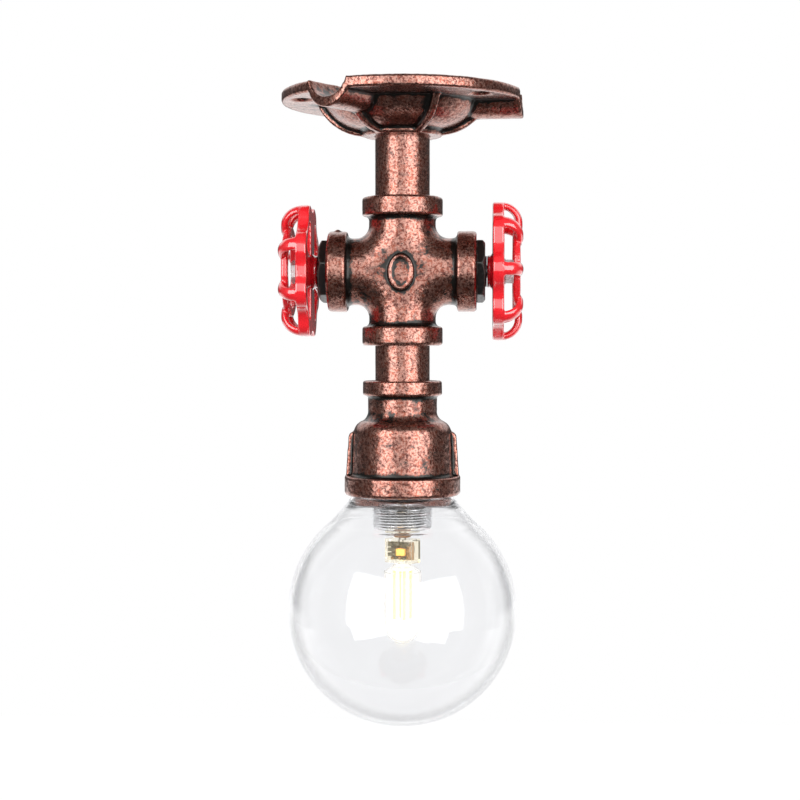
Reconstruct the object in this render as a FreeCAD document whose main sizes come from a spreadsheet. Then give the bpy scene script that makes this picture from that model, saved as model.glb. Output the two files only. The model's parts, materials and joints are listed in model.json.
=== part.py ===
import FreeCAD, Part
import math
import os
import Sketcher

# Semi-flush ceiling light made from cast pipe fittings.
# Millimetres. The origin is the centre of the ceiling face of the flange, +Z points up into
# the ceiling, the light hangs towards -Z, its level arms lie along X and its front faces -Y.

os.makedirs("parts", exist_ok=True)
doc = FreeCAD.newDocument("pipe_ceiling_light")

SIZES = [
    # small details that several pieces share
    ("edge_break", 0.4, "broken edge of a turned piece"),
    ("casting_round", 0.6, "small rounding of the castings"),
    ("overlap", 0.5, "how far joined forms reach into each other"),
    ("overcut", 1.0, "how far a cutting form passes the face it opens"),
    # pipes and threads
    ("pipe_radius", 10.65, "half inch pipe, outside"),
    ("pipe_bore", 8.0, "half inch pipe, inside radius"),
    ("thread_reach", 12.0, "how far a pipe screws into a fitting"),
    ("thread_gap", 0.03, "radial gap between a pipe and its female thread"),
    ("pipe_bevel", 0.8, "bevel on the pipe ends"),
    ("upper_show", 23.5, "upper nipple between flange hub and cross"),
    ("lower_show", 13.7, "lower nipple between cross and reducing socket"),
    # ceiling flange
    ("rim_radius", 47.0, "flange plate, outside"),
    ("plate_thick", 4.4, "flange plate"),
    ("rim_round", 0.8, "rounding of the plate's rim"),
    ("hub_drop", 17.0, "ceiling face to the bottom of the hub"),
    ("hub_radius", 14.0, "hub wall"),
    ("bead_radius", 15.6, "bead round the mouth of the hub"),
    ("bead_tall", 2.2, "height of that bead"),
    ("bead_round", 0.7, "rounding of that bead"),
    ("dome_foot", 30.4, "where the hub's dome meets the plate"),
    ("dome_sweep", 18.4, "radius of the dome"),
    ("cavity_radius", 21.5, "wiring recess in the ceiling face"),
    ("cavity_deep", 4.6, "depth of the wiring recess"),
    ("channels", 3, "wire channels round the flange"),
    ("channel_turn", -4.1, "first channel from +X, degrees"),
    ("channel_radius", 9.65, "outside of a channel"),
    ("channel_axis_drop", 0.95, "axis of that outside below the ceiling face"),
    ("channel_bore", 8.7, "inside of a channel"),
    ("channel_bore_lift", 1.9, "axis of the inside above the ceiling face"),
    ("channel_mouth", 18.5, "inner end of a channel's trough"),
    ("channel_start", 22.0, "inner end of a channel's outside, within the dome"),
    ("webs", 6, "stiffening webs, one of them under each channel"),
    ("web_thick", 2.7, "stiffening web"),
    ("web_reach", 33.3, "outer end of the web's edge"),
    ("web_curve", 21.0, "radius of the web's edge"),
    ("screw_inset", 7.0, "ceiling screws in from the rim"),
    ("screw_turn", -36.4, "ceiling screw from a channel, degrees"),
    ("screw_hole", 2.75, "ceiling screw hole, radius"),
    ("screw_sink", 4.7, "countersink radius at the underside"),
    # cross fitting
    ("cross_half", 28.9, "centre of the cross to each end"),
    ("arm_radius", 13.0, "arms of the cross, outside"),
    ("band_radius", 15.7, "bands at the ends of the cross"),
    ("band_wide", 7.4, "width of those bands"),
    ("band_round", 1.1, "rounding of those bands"),
    ("band_cove", 1.8, "cove between arm and band"),
    ("crotch_round", 5.0, "inside bend between two arms"),
    ("cross_bore", 8.8, "passages inside the cross, radius"),
    ("boss_wide", 9.8, "oval boss, width"),
    ("boss_tall", 13.6, "oval boss, height"),
    ("boss_drop", 0.6, "oval boss below the cross centre"),
    ("boss_proud", 1.0, "oval boss in front of the arms"),
    ("boss_lip", 1.1, "raised lip of the boss"),
    ("boss_sink", 0.5, "field of the boss below its lip"),
    ("nub_radius", 1.6, "casting nub on the left band"),
    # plugs
    ("plug_flats", 22.0, "hexagon plug across flats"),
    ("plug_head", 3.4, "hexagon head thickness"),
    ("plug_thread", 10.0, "plug thread length"),
    ("plug_tilt", 13.0, "front corner of the hexagon above level, degrees"),
    # handwheels
    ("wheel_radius", 26.9, "handwheel, outside of a lobe"),
    ("wheel_gap", 2.9, "plug face to the back edge of the wheel"),
    ("lobes", 8, "lobes of the wheel, each with a finger"),
    ("spokes", 4, "spokes of the wheel, each behind a valley"),
    ("skirt_wide", 4.3, "skirt of the wheel along the axis"),
    ("skirt_wall", 2.4, "wall of the skirt at a valley"),
    ("skirt_round", 0.6, "rounding of the skirt"),
    ("valley_deep", 3.4, "valley between lobes"),
    ("valley_radius", 9.0, "radius of a valley"),
    ("finger_wide", 5.0, "finger rib, width"),
    ("finger_thick", 3.0, "finger rib, thickness"),
    ("finger_round", 1.0, "finger rib, rounding of its sides"),
    ("finger_bend", 6.7, "large bend of a finger, centre line"),
    ("finger_flat", 1.5, "straight stretch of a finger after the bend"),
    ("finger_sink", 0.9, "a finger's bend starts behind the skirt's front"),
    ("finger_tip_bend", 2.0, "small bend at a finger's tip"),
    ("ring_inner", 13.9, "front ring, inside radius"),
    ("ring_outer", 17.7, "front ring, outside radius"),
    ("ring_thick", 2.6, "front ring along the axis"),
    ("ring_recess", 1.1, "front ring behind the fingers"),
    ("hub_stub_radius", 6.25, "wheel hub, outside"),
    ("hub_stub_gap", 0.2, "wheel hub to the spacer"),
    ("hub_fillet", 1.4, "fillet between hub and web"),
    ("hub_seat", 4.2, "front of the hub from the back edge of the wheel"),
    ("spoke_thick", 3.0, "web with the petal openings"),
    ("petal_inner", 9.4, "petal opening, inner end"),
    ("petal_wall", 0.2, "petal opening short of the skirt's inside"),
    ("petal_half", 7.6, "petal opening, half width at the outside"),
    ("petal_tip", 1.2, "petal opening, half width at the inside"),
    ("petal_round", 3.0, "petal opening, outer corners"),
    ("petal_tip_round", 1.25, "petal opening, rounding of the inner end"),
    # wheel bolts
    ("bolt_radius", 2.5, "wheel bolt shank"),
    ("bolt_fit", 0.06, "radial running clearance of the wheel on its bolt"),
    ("bolt_flats", 8.0, "bolt head and nut across flats"),
    ("bolt_head", 3.3, "bolt head thickness"),
    ("bolt_washer_radius", 5.0, "washer under the bolt head"),
    ("bolt_washer_thick", 0.6, "that washer's thickness"),
    ("bolt_play", 0.2, "axial play between hub and washer"),
    ("spacer_radius", 6.0, "nylon spacer behind the hub"),
    ("spacer_thick", 0.6, "that spacer's thickness"),
    ("lock_nut_thick", 4.0, "lock nut inside the cross"),
    ("bolt_end", 1.0, "bolt past its lock nut"),
    # reducing socket
    ("socket_long", 44.8, "reducing socket, length"),
    ("collar_radius", 15.5, "upper band of the socket"),
    ("collar_tall", 5.8, "height of that band"),
    ("collar_round", 0.8, "rounding of that band's top"),
    ("socket_cove", 1.1, "coves beside the bands of the socket"),
    ("neck_radius", 13.5, "neck of the socket"),
    ("neck_end", 12.6, "neck ends below the top face"),
    ("shoulder_mid", 15.6, "shoulder depth where its curve turns"),
    ("shoulder_mid_radius", 15.4, "shoulder radius there"),
    ("shoulder_end", 20.4, "shoulder ends below the top face"),
    ("shoulder_hollow", 4.5, "hollow bend of the shoulder"),
    ("shoulder_bulge", 5.5, "round bend of the shoulder"),
    ("body_radius", 19.2, "body of the socket"),
    ("body_flare", 0.5, "how much the body widens downwards"),
    ("foot_radius", 22.7, "bottom band of the socket"),
    ("foot_tall", 7.6, "height of that band"),
    ("foot_round", 1.2, "rounding of that band"),
    ("side_web_thick", 3.6, "side webs of the socket"),
    ("side_web_top", 21.1, "side web reach at its upper end"),
    ("side_web_start", 20.0, "side web starts below the top face"),
    ("side_web_round", 2.0, "rounding of the side web's upper corner"),
    ("stop_ledge", 1.4, "ledge that stops the pipe inside the socket"),
    ("stop_tall", 3.4, "height of that ledge"),
    ("chamber_radius", 15.0, "chamber inside the socket"),
    ("chamber_start", 21.0, "chamber starts below the top face"),
    ("seat_radius", 16.6, "female thread at the bottom of the socket"),
    ("seat_deep", 15.0, "depth of that thread"),
    # holder carrier
    ("adapter_thick", 6.0, "adapter plug that closes the socket"),
    ("adapter_recess", 0.6, "adapter plug above the bottom face"),
    ("stem_radius", 5.0, "hollow threaded stem"),
    ("stem_bore", 3.7, "bore of the stem, radius"),
    ("stem_up", 7.0, "stem above the adapter plug"),
    ("stem_nut_flats", 14.0, "nuts on the stem, across flats"),
    ("stem_nut_thick", 3.0, "nuts on the stem"),
    ("stem_spare", 0.5, "stem past its lower nut"),
    ("nut_clear", 0.3, "corners of the lower nut to the sleeve"),
    ("stem_washer_radius", 7.5, "washer on the stem"),
    ("stem_washer_thick", 1.0, "that washer's thickness"),
    # lamp holder
    ("sleeve_radius", 9.2, "threaded sleeve, crest of the thread"),
    ("sleeve_core", 8.55, "threaded sleeve, root of the thread"),
    ("sleeve_bore", 7.7, "threaded sleeve, inside radius"),
    ("sleeve_pitch", 1.57, "pitch of the sleeve's thread"),
    ("sleeve_long", 14.1, "sleeve below the adapter plug"),
    ("sleeve_top", 1.5, "end wall of the sleeve"),
    ("sleeve_plain", 0.8, "sleeve below its thread"),
    ("sleeve_lip", 0.5, "rounding of the sleeve's lower edge"),
    ("core_gap", 0.1, "ceramic core inside the sleeve, radial"),
    ("core_clear", 0.2, "ceramic core below the stem"),
    ("core_bevel", 0.9, "bevel round the nose of the core"),
    ("nose_radius", 3.6, "nose of the ceramic core, upper radius"),
    ("nose_tip", 2.3, "nose of the ceramic core, lower radius"),
    ("nose_tall", 2.2, "nose below the sleeve"),
    ("pin_spacing", 4.0, "lamp pins, centre to centre"),
    ("pin_radius", 0.35, "lamp pins"),
    ("pin_grip", 7.0, "lamp pins inside the holder"),
    ("pin_slot", 0.95, "pin hole in the ceramic core, radius"),
    ("contact_wall", 0.3, "contact tube wall"),
    ("contact_long", 6.0, "contact tube length"),
    ("contact_lead", 0.5, "contact tube past the pin's tip"),
    ("contact_fit", 0.03, "radial grip gap between pin and contact"),
    # lamp
    ("lamp_turn", -30.0, "lamp base turned about the vertical, degrees"),
    ("base_gap", 1.6, "lamp base below the holder's nose"),
    ("base_wide", 12.6, "lamp base, width"),
    ("base_deep", 7.4, "lamp base, depth"),
    ("base_tall", 9.2, "lamp base, height"),
    ("base_round", 1.0, "lamp base, rounded corners"),
    ("base_wall", 0.9, "lamp base, wall"),
    ("board_wide", 9.6, "circuit board width"),
    ("board_tall", 7.0, "circuit board height"),
    ("board_thick", 0.8, "circuit board thickness"),
    ("capsule_radius", 7.4, "glass capsule, outside"),
    ("capsule_wall", 0.6, "glass capsule, wall"),
    ("capsule_long", 32.0, "glass capsule below the base"),
    ("capsule_neck", 3.4, "glass capsule, neck radius at the base"),
    ("capsule_neck_long", 0.6, "glass capsule, neck length"),
    ("capsule_flare", 3.0, "glass capsule, height of its widening"),
    ("filament_radius", 0.55, "filament stick"),
    ("filament_long", 19.2, "filament stick length"),
    ("filament_spread", 3.3, "filament sticks from the axis"),
    ("filaments", 4, "filament sticks"),
    ("stem_foot", 3.2, "filament sticks start below the base"),
    ("stem_rod", 0.4, "support wire radius"),
    ("stem_disc", 0.8, "discs that hold the sticks, thickness"),
    # globe
    ("globe_radius", 45.0, "globe, outside"),
    ("globe_wall", 1.6, "globe, wall"),
    ("globe_drop", 45.5, "globe centre below the reducing socket"),
    ("globe_gap", 0.3, "globe below the reducing socket"),
    ("shoulder_flat", 18.0, "flat top of the globe, radius"),
    ("shoulder_radius", 21.6, "shoulder of the globe, radius"),
    ("shoulder_drop", 2.6, "shoulder below the flat top"),
    ("shoulder_round", 3.6, "rounding of the shoulder"),
    ("shoulder_join", 28.0, "where the shoulder meets the sphere, radius"),
    ("screw_collar_radius", 11.7, "inner screw collar, outside"),
    ("screw_collar_gap", 0.35, "collar bore to the sleeve's thread"),
    ("screw_collar_deep", 13.4, "inner screw collar, depth"),
    ("screw_collar_round", 0.7, "rounding of the collar's lip"),
    ("gasket_inner", 12.2, "gasket between socket and globe, inside"),
    ("gasket_outer", 15.8, "gasket, outside"),
    ("gasket_thick", 0.6, "gasket thickness"),
    # earthing point
    ("earth_turn", 60.0, "earthing screw from a channel, degrees"),
    ("earth_circle", 16.0, "earthing screw from the centre"),
    ("earth_radius", 2.0, "earthing screw thread"),
    ("earth_long", 5.0, "earthing screw below the recess floor"),
    ("earth_head", 3.5, "earthing screw head radius"),
    ("earth_head_tall", 2.2, "earthing screw head height"),
    ("earth_head_round", 0.7, "rounding of that head"),
    ("slot_wide", 0.8, "slot of that head, width"),
    ("slot_deep", 1.0, "slot of that head, depth"),
    ("earth_washer_radius", 4.2, "cup washer"),
    ("earth_washer_thick", 0.8, "cup washer thickness"),
    # leads
    ("lead_radius", 1.05, "insulated lead"),
    ("lead_spread", 1.6, "leads from the axis"),
    ("lead_bend", 6.0, "bend of a lead over the pipe's end"),
    ("lead_tail", 4.0, "straight tail of a lead in the recess"),
    ("lead_depth", 2.3, "tails below the ceiling face"),
    ("ferrule_radius", 1.35, "ferrule on a lead's end"),
    ("ferrule_long", 3.6, "ferrule length"),
    ("ferrule_collar", 1.4, "collar of the ferrule, length"),
    ("ferrule_pin", 0.75, "pin of the ferrule, radius"),
]

sheet = doc.addObject("Spreadsheet::Sheet", "sizes")
for row, (alias, number, meaning) in enumerate(SIZES, start=1):
    sheet.set(f"A{row}", meaning)
    sheet.set(f"B{row}", str(number))
    sheet.setAlias(f"B{row}", alias)
doc.recompute()


class Size:
    """A number together with the sheet expression that gives it."""

    def __init__(self, value, text):
        self.value = float(value)
        self.text = text

    def __add__(self, other):
        other = as_size(other)
        return Size(self.value + other.value, f"({self.text} + {other.text})")

    def __sub__(self, other):
        other = as_size(other)
        return Size(self.value - other.value, f"({self.text} - {other.text})")

    def __mul__(self, other):
        other = as_size(other)
        return Size(self.value * other.value, f"({self.text} * {other.text})")

    def __truediv__(self, other):
        other = as_size(other)
        return Size(self.value / other.value, f"({self.text} / {other.text})")

    def __neg__(self):
        return Size(-self.value, f"(-1 * {self.text})")

    def __radd__(self, other):
        return as_size(other) + self

    def __rsub__(self, other):
        return as_size(other) - self

    def __rmul__(self, other):
        return as_size(other) * self

    def __rtruediv__(self, other):
        return as_size(other) / self


def as_size(thing):
    if isinstance(thing, Size):
        return thing
    return Size(thing, repr(float(thing)))


def square_root(thing):
    return Size(math.sqrt(thing.value), f"sqrt({thing.text})")


def cosine(angle):
    return Size(math.cos(math.radians(angle.value)), f"cos({angle.text})")


def sine(angle):
    return Size(math.sin(math.radians(angle.value)), f"sin({angle.text})")


class Sheet:
    """Gives every size of the sheet as an attribute."""


s = Sheet()
for alias, number, meaning in SIZES:
    setattr(s, alias, Size(number, "sizes." + alias))

HEX_CORNER = 2 / math.sqrt(3)
CROWN_ANGLE = 30
CROWN_SHARE = 0.2
NODES = []


def bind(thing, path, value):
    """Ties a property to the sheet, or sets it where the value is a plain number."""
    thing.setExpression(path, as_size(value).text)


def new_body(name):
    body = doc.addObject("PartDesign::Body", name)
    body.Label = name
    return body


def keep(thing, name):
    """Marks a finished sub-part, which becomes one node."""
    thing.Label = name
    NODES.append(thing)
    return thing


def lower(thing, depth):
    """Hangs a piece that is drawn with its top at zero at a depth below the ceiling."""
    bind(thing, ".Placement.Base.z", -depth)


def sideways(body, side, phase=0):
    """Lays a piece drawn along +Z on the level axis of the cross, facing side +1 or -1."""
    across = FreeCAD.Rotation(FreeCAD.Vector(0, 1, 0), 90 * side)
    spin = FreeCAD.Rotation(FreeCAD.Vector(0, 0, 1), phase)
    body.Placement = FreeCAD.Placement(FreeCAD.Vector(0, 0, -cross_level.value), across * spin)
    bind(body, ".Placement.Base.z", -cross_level)


def new_sketch(body, name, plane, lift=0, turn=0):
    """A sketch on one of the body's own planes, lifted along Z or X, or turned about Z."""
    made = body.newObject("Sketcher::SketchObject", name)
    role = plane + "_Plane"
    support = [f for f in body.Origin.OriginFeatures if f.Role == role][0]
    made.AttachmentSupport = [(support, "")]
    made.MapMode = "FlatFace"
    spin = FreeCAD.Vector(0, 0, 1) if plane == "XY" else FreeCAD.Vector(0, 1, 0)
    turn = as_size(turn)
    made.AttachmentOffset = FreeCAD.Placement(FreeCAD.Vector(), FreeCAD.Rotation(spin, turn.value))
    bind(made, ".AttachmentOffset.Base.z", lift)
    if turn.value:
        bind(made, ".AttachmentOffset.Rotation.Angle", turn)
    return made


def hold(sketch, edge, place, x, y):
    """Fixes a point of an edge at x, y."""
    for kind, value in (("DistanceX", as_size(x)), ("DistanceY", as_size(y))):
        index = sketch.addConstraint(Sketcher.Constraint(kind, -1, 1, edge, place, value.value))
        sketch.setExpression(f"Constraints[{index}]", value.text)


def arc_between(start, end, radius):
    """An arc of less than a half turn; a positive radius has its centre on the left."""
    chord = end - start
    rise = math.sqrt(radius * radius - chord.Length * chord.Length / 4)
    left = FreeCAD.Vector(-chord.y, chord.x, 0).normalize()
    centre = (start + end) / 2 + left * math.copysign(rise, radius)
    first, last = (start, end) if radius > 0 else (end, start)
    angles = [math.atan2(p.y - centre.y, p.x - centre.x) for p in (first, last)]
    return Part.ArcOfCircle(Part.Circle(centre, FreeCAD.Vector(0, 0, 1), abs(radius)), *angles)


def outline(sketch, corners, closed=True):
    """Draws edges through corners (x, y) or (x, y, radius of the arc that leaves it)."""
    count = len(corners)
    points = [FreeCAD.Vector(as_size(c[0]).value, as_size(c[1]).value, 0) for c in corners]
    edges = count if closed else count - 1
    ends = []
    for i in range(edges):
        here = points[i]
        there = points[(i + 1) % count]
        if len(corners[i]) == 3:
            radius = as_size(corners[i][2])
            edge = sketch.addGeometry(arc_between(here, there, radius.value), False)
            ends.append((edge, 1, 2) if radius.value > 0 else (edge, 2, 1))
            size = radius if radius.value > 0 else -radius
            index = sketch.addConstraint(Sketcher.Constraint("Radius", edge, size.value))
            sketch.setExpression(f"Constraints[{index}]", size.text)
        else:
            edge = sketch.addGeometry(Part.LineSegment(here, there), False)
            ends.append((edge, 1, 2))
    for i in range(edges if closed else edges - 1):
        after = ends[(i + 1) % edges]
        sketch.addConstraint(Sketcher.Constraint("Coincident", ends[i][0], ends[i][2], after[0], after[1]))
    for i in range(edges):
        hold(sketch, ends[i][0], ends[i][1], corners[i][0], corners[i][1])
    if not closed:
        hold(sketch, ends[-1][0], ends[-1][2], corners[-1][0], corners[-1][1])


def circle(sketch, x, y, radius):
    x, y, radius = as_size(x), as_size(y), as_size(radius)
    centre = FreeCAD.Vector(x.value, y.value, 0)
    edge = sketch.addGeometry(Part.Circle(centre, FreeCAD.Vector(0, 0, 1), radius.value), False)
    hold(sketch, edge, 3, x, y)
    index = sketch.addConstraint(Sketcher.Constraint("Radius", edge, radius.value))
    sketch.setExpression(f"Constraints[{index}]", radius.text)


def hexagon(sketch, flats):
    corner = flats / 2 * HEX_CORNER
    outline(sketch, [
        (corner * round(math.cos(math.radians(60 * k)), 12), corner * math.sin(math.radians(60 * k)))
        for k in range(6)
    ])


def rounded_box(sketch, x, y, wide, tall, radius):
    """A rectangle round x, y with rounded corners."""
    left, right = x - wide / 2, x + wide / 2
    low, high = y - tall / 2, y + tall / 2
    outline(sketch, [
        (left + radius, low), (right - radius, low, radius),
        (right, low + radius), (right, high - radius, radius),
        (right - radius, high), (left + radius, high, radius),
        (left, high - radius), (left, low + radius, radius),
    ])


def oval(sketch, x, y, across, along, side):
    """Four tangent arcs round x, y: two sides of a small radius and two flat crowns."""
    half, long = across / 2, along / 2
    crown = (half * half + long * long - 2 * long * side) / (2 * (half - side))
    share = side / (crown - side)
    reach_x = (crown - half) * share
    reach_y = long - side + (long - side) * share
    outline(sketch, [
        (x + reach_x, y - reach_y, crown),
        (x + reach_x, y + reach_y, side),
        (x - reach_x, y + reach_y, crown),
        (x - reach_x, y - reach_y, side),
    ])


def turned(body, name, corners, cut=False, turn=0, reach=None):
    """A solid, or a cut, turned about the body's Z axis from an outline of radius and height."""
    sketch = new_sketch(body, name + "_outline", "XZ", turn=turn)
    if reach is not None:
        bind(sketch, ".AttachmentOffset.Base.x", reach * cosine(as_size(turn)))
        bind(sketch, ".AttachmentOffset.Base.z", -(reach * sine(as_size(turn))))
    outline(sketch, corners)
    kind = "PartDesign::Groove" if cut else "PartDesign::Revolution"
    made = body.newObject(kind, name)
    made.Profile = sketch
    made.ReferenceAxis = (sketch, ["V_Axis"])
    made.Angle = 360
    return made


def pad(body, name, sketch, length, both=False, back=False):
    made = body.newObject("PartDesign::Pad", name)
    made.Profile = sketch
    bind(made, "Length", length)
    made.SideType = "Symmetric" if both else "One side"
    made.Reversed = back
    return made


def pocket(body, name, sketch, length, both=False, back=False):
    made = body.newObject("PartDesign::Pocket", name)
    made.Profile = sketch
    bind(made, "Length", length)
    made.SideType = "Symmetric" if both else "One side"
    made.Reversed = back
    return made


def round_about(body, name, features, count):
    """Repeats features evenly about the body's Z axis."""
    made = body.newObject("PartDesign::PolarPattern", name)
    made.Originals = features
    made.Axis = ([f for f in body.Origin.OriginFeatures if f.Role == "Z_Axis"][0], [""])
    made.Angle = 360
    bind(made, "Occurrences", count)
    body.Tip = made
    return made


def hex_crown(body, name, flats, top, upward=True):
    """Bevels the corners of a hexagon, as on a nut, at its end face."""
    way = 1 if upward else -1
    slope = math.tan(math.radians(CROWN_ANGLE)) * way
    spare = flats / 2 * CROWN_SHARE
    turned(body, name, [
        (flats / 2, top),
        (flats / 2 + spare, top - spare * slope),
        (flats / 2 + spare, top + s.overcut * way),
        (flats / 2, top + s.overcut * way),
    ], cut=True)


# Levels down the axis
hub_face = s.hub_drop
cross_top = hub_face + s.upper_show
cross_level = cross_top + s.cross_half
cross_bottom = cross_level + s.cross_half
socket_top = cross_bottom + s.lower_show
socket_bottom = socket_top + s.socket_long
adapter_bottom = socket_bottom - s.adapter_recess
adapter_top = adapter_bottom - s.adapter_thick
stem_end = adapter_bottom + s.sleeve_top + s.stem_nut_thick + s.stem_spare
core_top = stem_end + s.core_clear
sleeve_end = adapter_bottom + s.sleeve_long
nose_end = sleeve_end + s.nose_tall
contact_top = nose_end - s.pin_grip - s.contact_lead
base_top = nose_end + s.base_gap
base_bottom = base_top + s.base_tall
globe_top = socket_bottom + s.globe_gap
globe_centre = socket_bottom + s.globe_drop
female_radius = s.pipe_radius + s.thread_gap

# Levels along the wheels' axis, from the centre of the cross outwards
plug_face = s.cross_half + s.plug_head
wheel_back = plug_face + s.wheel_gap
hub_front = wheel_back + s.hub_seat
bolt_seat = hub_front + s.bolt_play + s.bolt_washer_thick
nut_face = s.cross_half - s.plug_thread


def make_flange():
    body = new_body("ceiling_flange")
    bead_top = s.hub_drop - s.bead_tall
    turned(body, "cast_disc", [
        (0, 0),
        (s.rim_radius - s.rim_round, 0, -s.rim_round),
        (s.rim_radius, -s.rim_round),
        (s.rim_radius, -(s.plate_thick - s.rim_round), -s.rim_round),
        (s.rim_radius - s.rim_round, -s.plate_thick),
        (s.dome_foot, -s.plate_thick, -s.dome_sweep),
        (s.hub_radius, -bead_top),
        (s.bead_radius - s.bead_round, -bead_top, -s.bead_round),
        (s.bead_radius, -(bead_top + s.bead_round)),
        (s.bead_radius, -(s.hub_drop - s.bead_round), -s.bead_round),
        (s.bead_radius - s.bead_round, -s.hub_drop),
        (0, -s.hub_drop),
    ])

    run = new_sketch(body, "channel_section", "YZ", lift=s.channel_start)
    circle(run, 0, -s.channel_axis_drop, s.channel_radius)
    channel = pad(body, "channel", run, s.rim_radius - s.channel_start + 2 * s.overcut)
    round_about(body, "arms", [channel], s.channels)

    edge = new_sketch(body, "web_outline", "XZ")
    inner = (s.hub_radius + female_radius) / 2
    outline(edge, [
        (inner, -(s.hub_drop - s.edge_break)),
        (s.bead_radius, -(s.hub_drop - s.edge_break), s.web_curve),
        (s.web_reach, -s.plate_thick),
        (s.web_reach, -s.plate_thick / 2),
        (inner, -s.plate_thick / 2),
    ])
    web = pad(body, "web", edge, s.web_thick, both=True)
    round_about(body, "ribbed", [web], s.webs)

    rim = new_sketch(body, "rim_trim_outline", "XY", lift=s.channel_radius)
    circle(rim, 0, 0, s.rim_radius)
    circle(rim, 0, 0, s.rim_radius + s.channel_radius)
    pocket(body, "rim_trim", rim, 3 * s.channel_radius)
    over = new_sketch(body, "ceiling_trim_outline", "XY")
    circle(over, 0, 0, s.rim_radius + s.channel_radius)
    pocket(body, "ceiling_trim", over, 2 * s.channel_radius, back=True)

    trough = new_sketch(body, "trough_section", "YZ", lift=s.channel_mouth)
    circle(trough, 0, s.channel_bore_lift, s.channel_bore)
    cut = pocket(body, "trough", trough, s.rim_radius, back=True)
    hole = turned(body, "screw_hole", [
        (0, s.overcut),
        (s.screw_hole, s.overcut),
        (s.screw_hole, -(s.plate_thick - (s.screw_sink - s.screw_hole))),
        (s.screw_sink, -s.plate_thick),
        (s.screw_sink, -(s.plate_thick + 2 * s.overcut)),
        (0, -(s.plate_thick + 2 * s.overcut)),
    ], cut=True, turn=s.screw_turn, reach=s.rim_radius - s.screw_inset)
    round_about(body, "openings", [cut, hole], s.channels)

    turned(body, "recess_and_bore", [
        (0, s.overcut),
        (s.cavity_radius, s.overcut),
        (s.cavity_radius, -s.cavity_deep),
        (female_radius, -s.cavity_deep),
        (female_radius, -(s.hub_drop + s.overcut)),
        (0, -(s.hub_drop + s.overcut)),
    ], cut=True)
    turned(body, "earth_hole", [
        (0, -(s.cavity_deep - s.overcut)),
        (s.earth_radius, -(s.cavity_deep - s.overcut)),
        (s.earth_radius, -(s.cavity_deep + s.earth_long + s.overlap)),
        (0, -(s.cavity_deep + s.earth_long + s.overlap)),
    ], cut=True, turn=s.earth_turn, reach=s.earth_circle)
    body.Placement = FreeCAD.Placement(
        FreeCAD.Vector(), FreeCAD.Rotation(FreeCAD.Vector(0, 0, 1), s.channel_turn.value))
    bind(body, ".Placement.Rotation.Angle", s.channel_turn)
    return keep(body, "ceiling_flange")


def on_earth_point(body):
    """Stands a small turned piece on the recess floor at the earthing point."""
    angle = s.channel_turn + s.earth_turn
    bind(body, ".Placement.Base.x", s.earth_circle * cosine(angle))
    bind(body, ".Placement.Base.y", s.earth_circle * sine(angle))
    bind(body, ".Placement.Base.z", -s.cavity_deep)


def make_earth_point():
    washer = new_body("earth_washer")
    turned(washer, "washer", [
        (s.earth_radius, 0),
        (s.earth_washer_radius, 0),
        (s.earth_washer_radius, s.earth_washer_thick),
        (s.earth_radius, s.earth_washer_thick),
    ])
    on_earth_point(washer)
    keep(washer, "earth_washer")
    screw = new_body("earth_screw")
    head_top = s.earth_washer_thick + s.earth_head_tall
    turned(screw, "screw", [
        (0, -s.earth_long),
        (s.earth_radius, -s.earth_long),
        (s.earth_radius, s.earth_washer_thick),
        (s.earth_head, s.earth_washer_thick),
        (s.earth_head, head_top - s.earth_head_round, s.earth_head_round),
        (s.earth_head - s.earth_head_round, head_top),
        (0, head_top),
    ])
    slot = new_sketch(screw, "slot_outline", "XY", lift=head_top - s.slot_deep)
    half = s.slot_wide / 2
    outline(slot, [
        (-s.earth_head, -half),
        (s.earth_head, -half),
        (s.earth_head, half),
        (-s.earth_head, half),
    ])
    pocket(screw, "slot", slot, s.slot_deep + s.overcut, back=True)
    on_earth_point(screw)
    keep(screw, "earth_screw")


def make_nipple(name, top, bottom):
    """A piece of pipe, bevelled at both ends."""
    body = new_body(name)
    long = bottom - top
    turned(body, "pipe", [
        (s.pipe_bore, 0),
        (s.pipe_radius - s.pipe_bevel, 0),
        (s.pipe_radius, -s.pipe_bevel),
        (s.pipe_radius, -(long - s.pipe_bevel)),
        (s.pipe_radius - s.pipe_bevel, -long),
        (s.pipe_bore, -long),
    ])
    lower(body, top)
    keep(body, name)


def cross_run(name):
    """A straight arm pair of the cross with its two end bands, drawn along Z."""
    body = new_body(name)
    end = s.cross_half
    inner = end - s.band_wide
    top_half = [
        (s.arm_radius, inner - s.band_cove, -s.band_cove),
        (s.arm_radius + s.band_cove, inner),
        (s.band_radius - s.band_round / 2, inner, s.band_round / 2),
        (s.band_radius, inner + s.band_round / 2),
        (s.band_radius, end - s.band_round, s.band_round),
        (s.band_radius - s.band_round, end),
        (0, end),
    ]
    low_half = [
        (0, -end),
        (s.band_radius - s.band_round, -end, s.band_round),
        (s.band_radius, -(end - s.band_round)),
        (s.band_radius, -(inner + s.band_round / 2), s.band_round / 2),
        (s.band_radius - s.band_round / 2, -inner),
        (s.arm_radius + s.band_cove, -inner, -s.band_cove),
        (s.arm_radius, -(inner - s.band_cove)),
    ]
    turned(body, "run", low_half + top_half)
    return body


def cylinder(name, radius, long):
    made = doc.addObject("Part::Cylinder", name)
    bind(made, "Radius", radius)
    bind(made, "Height", long)
    return made


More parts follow.
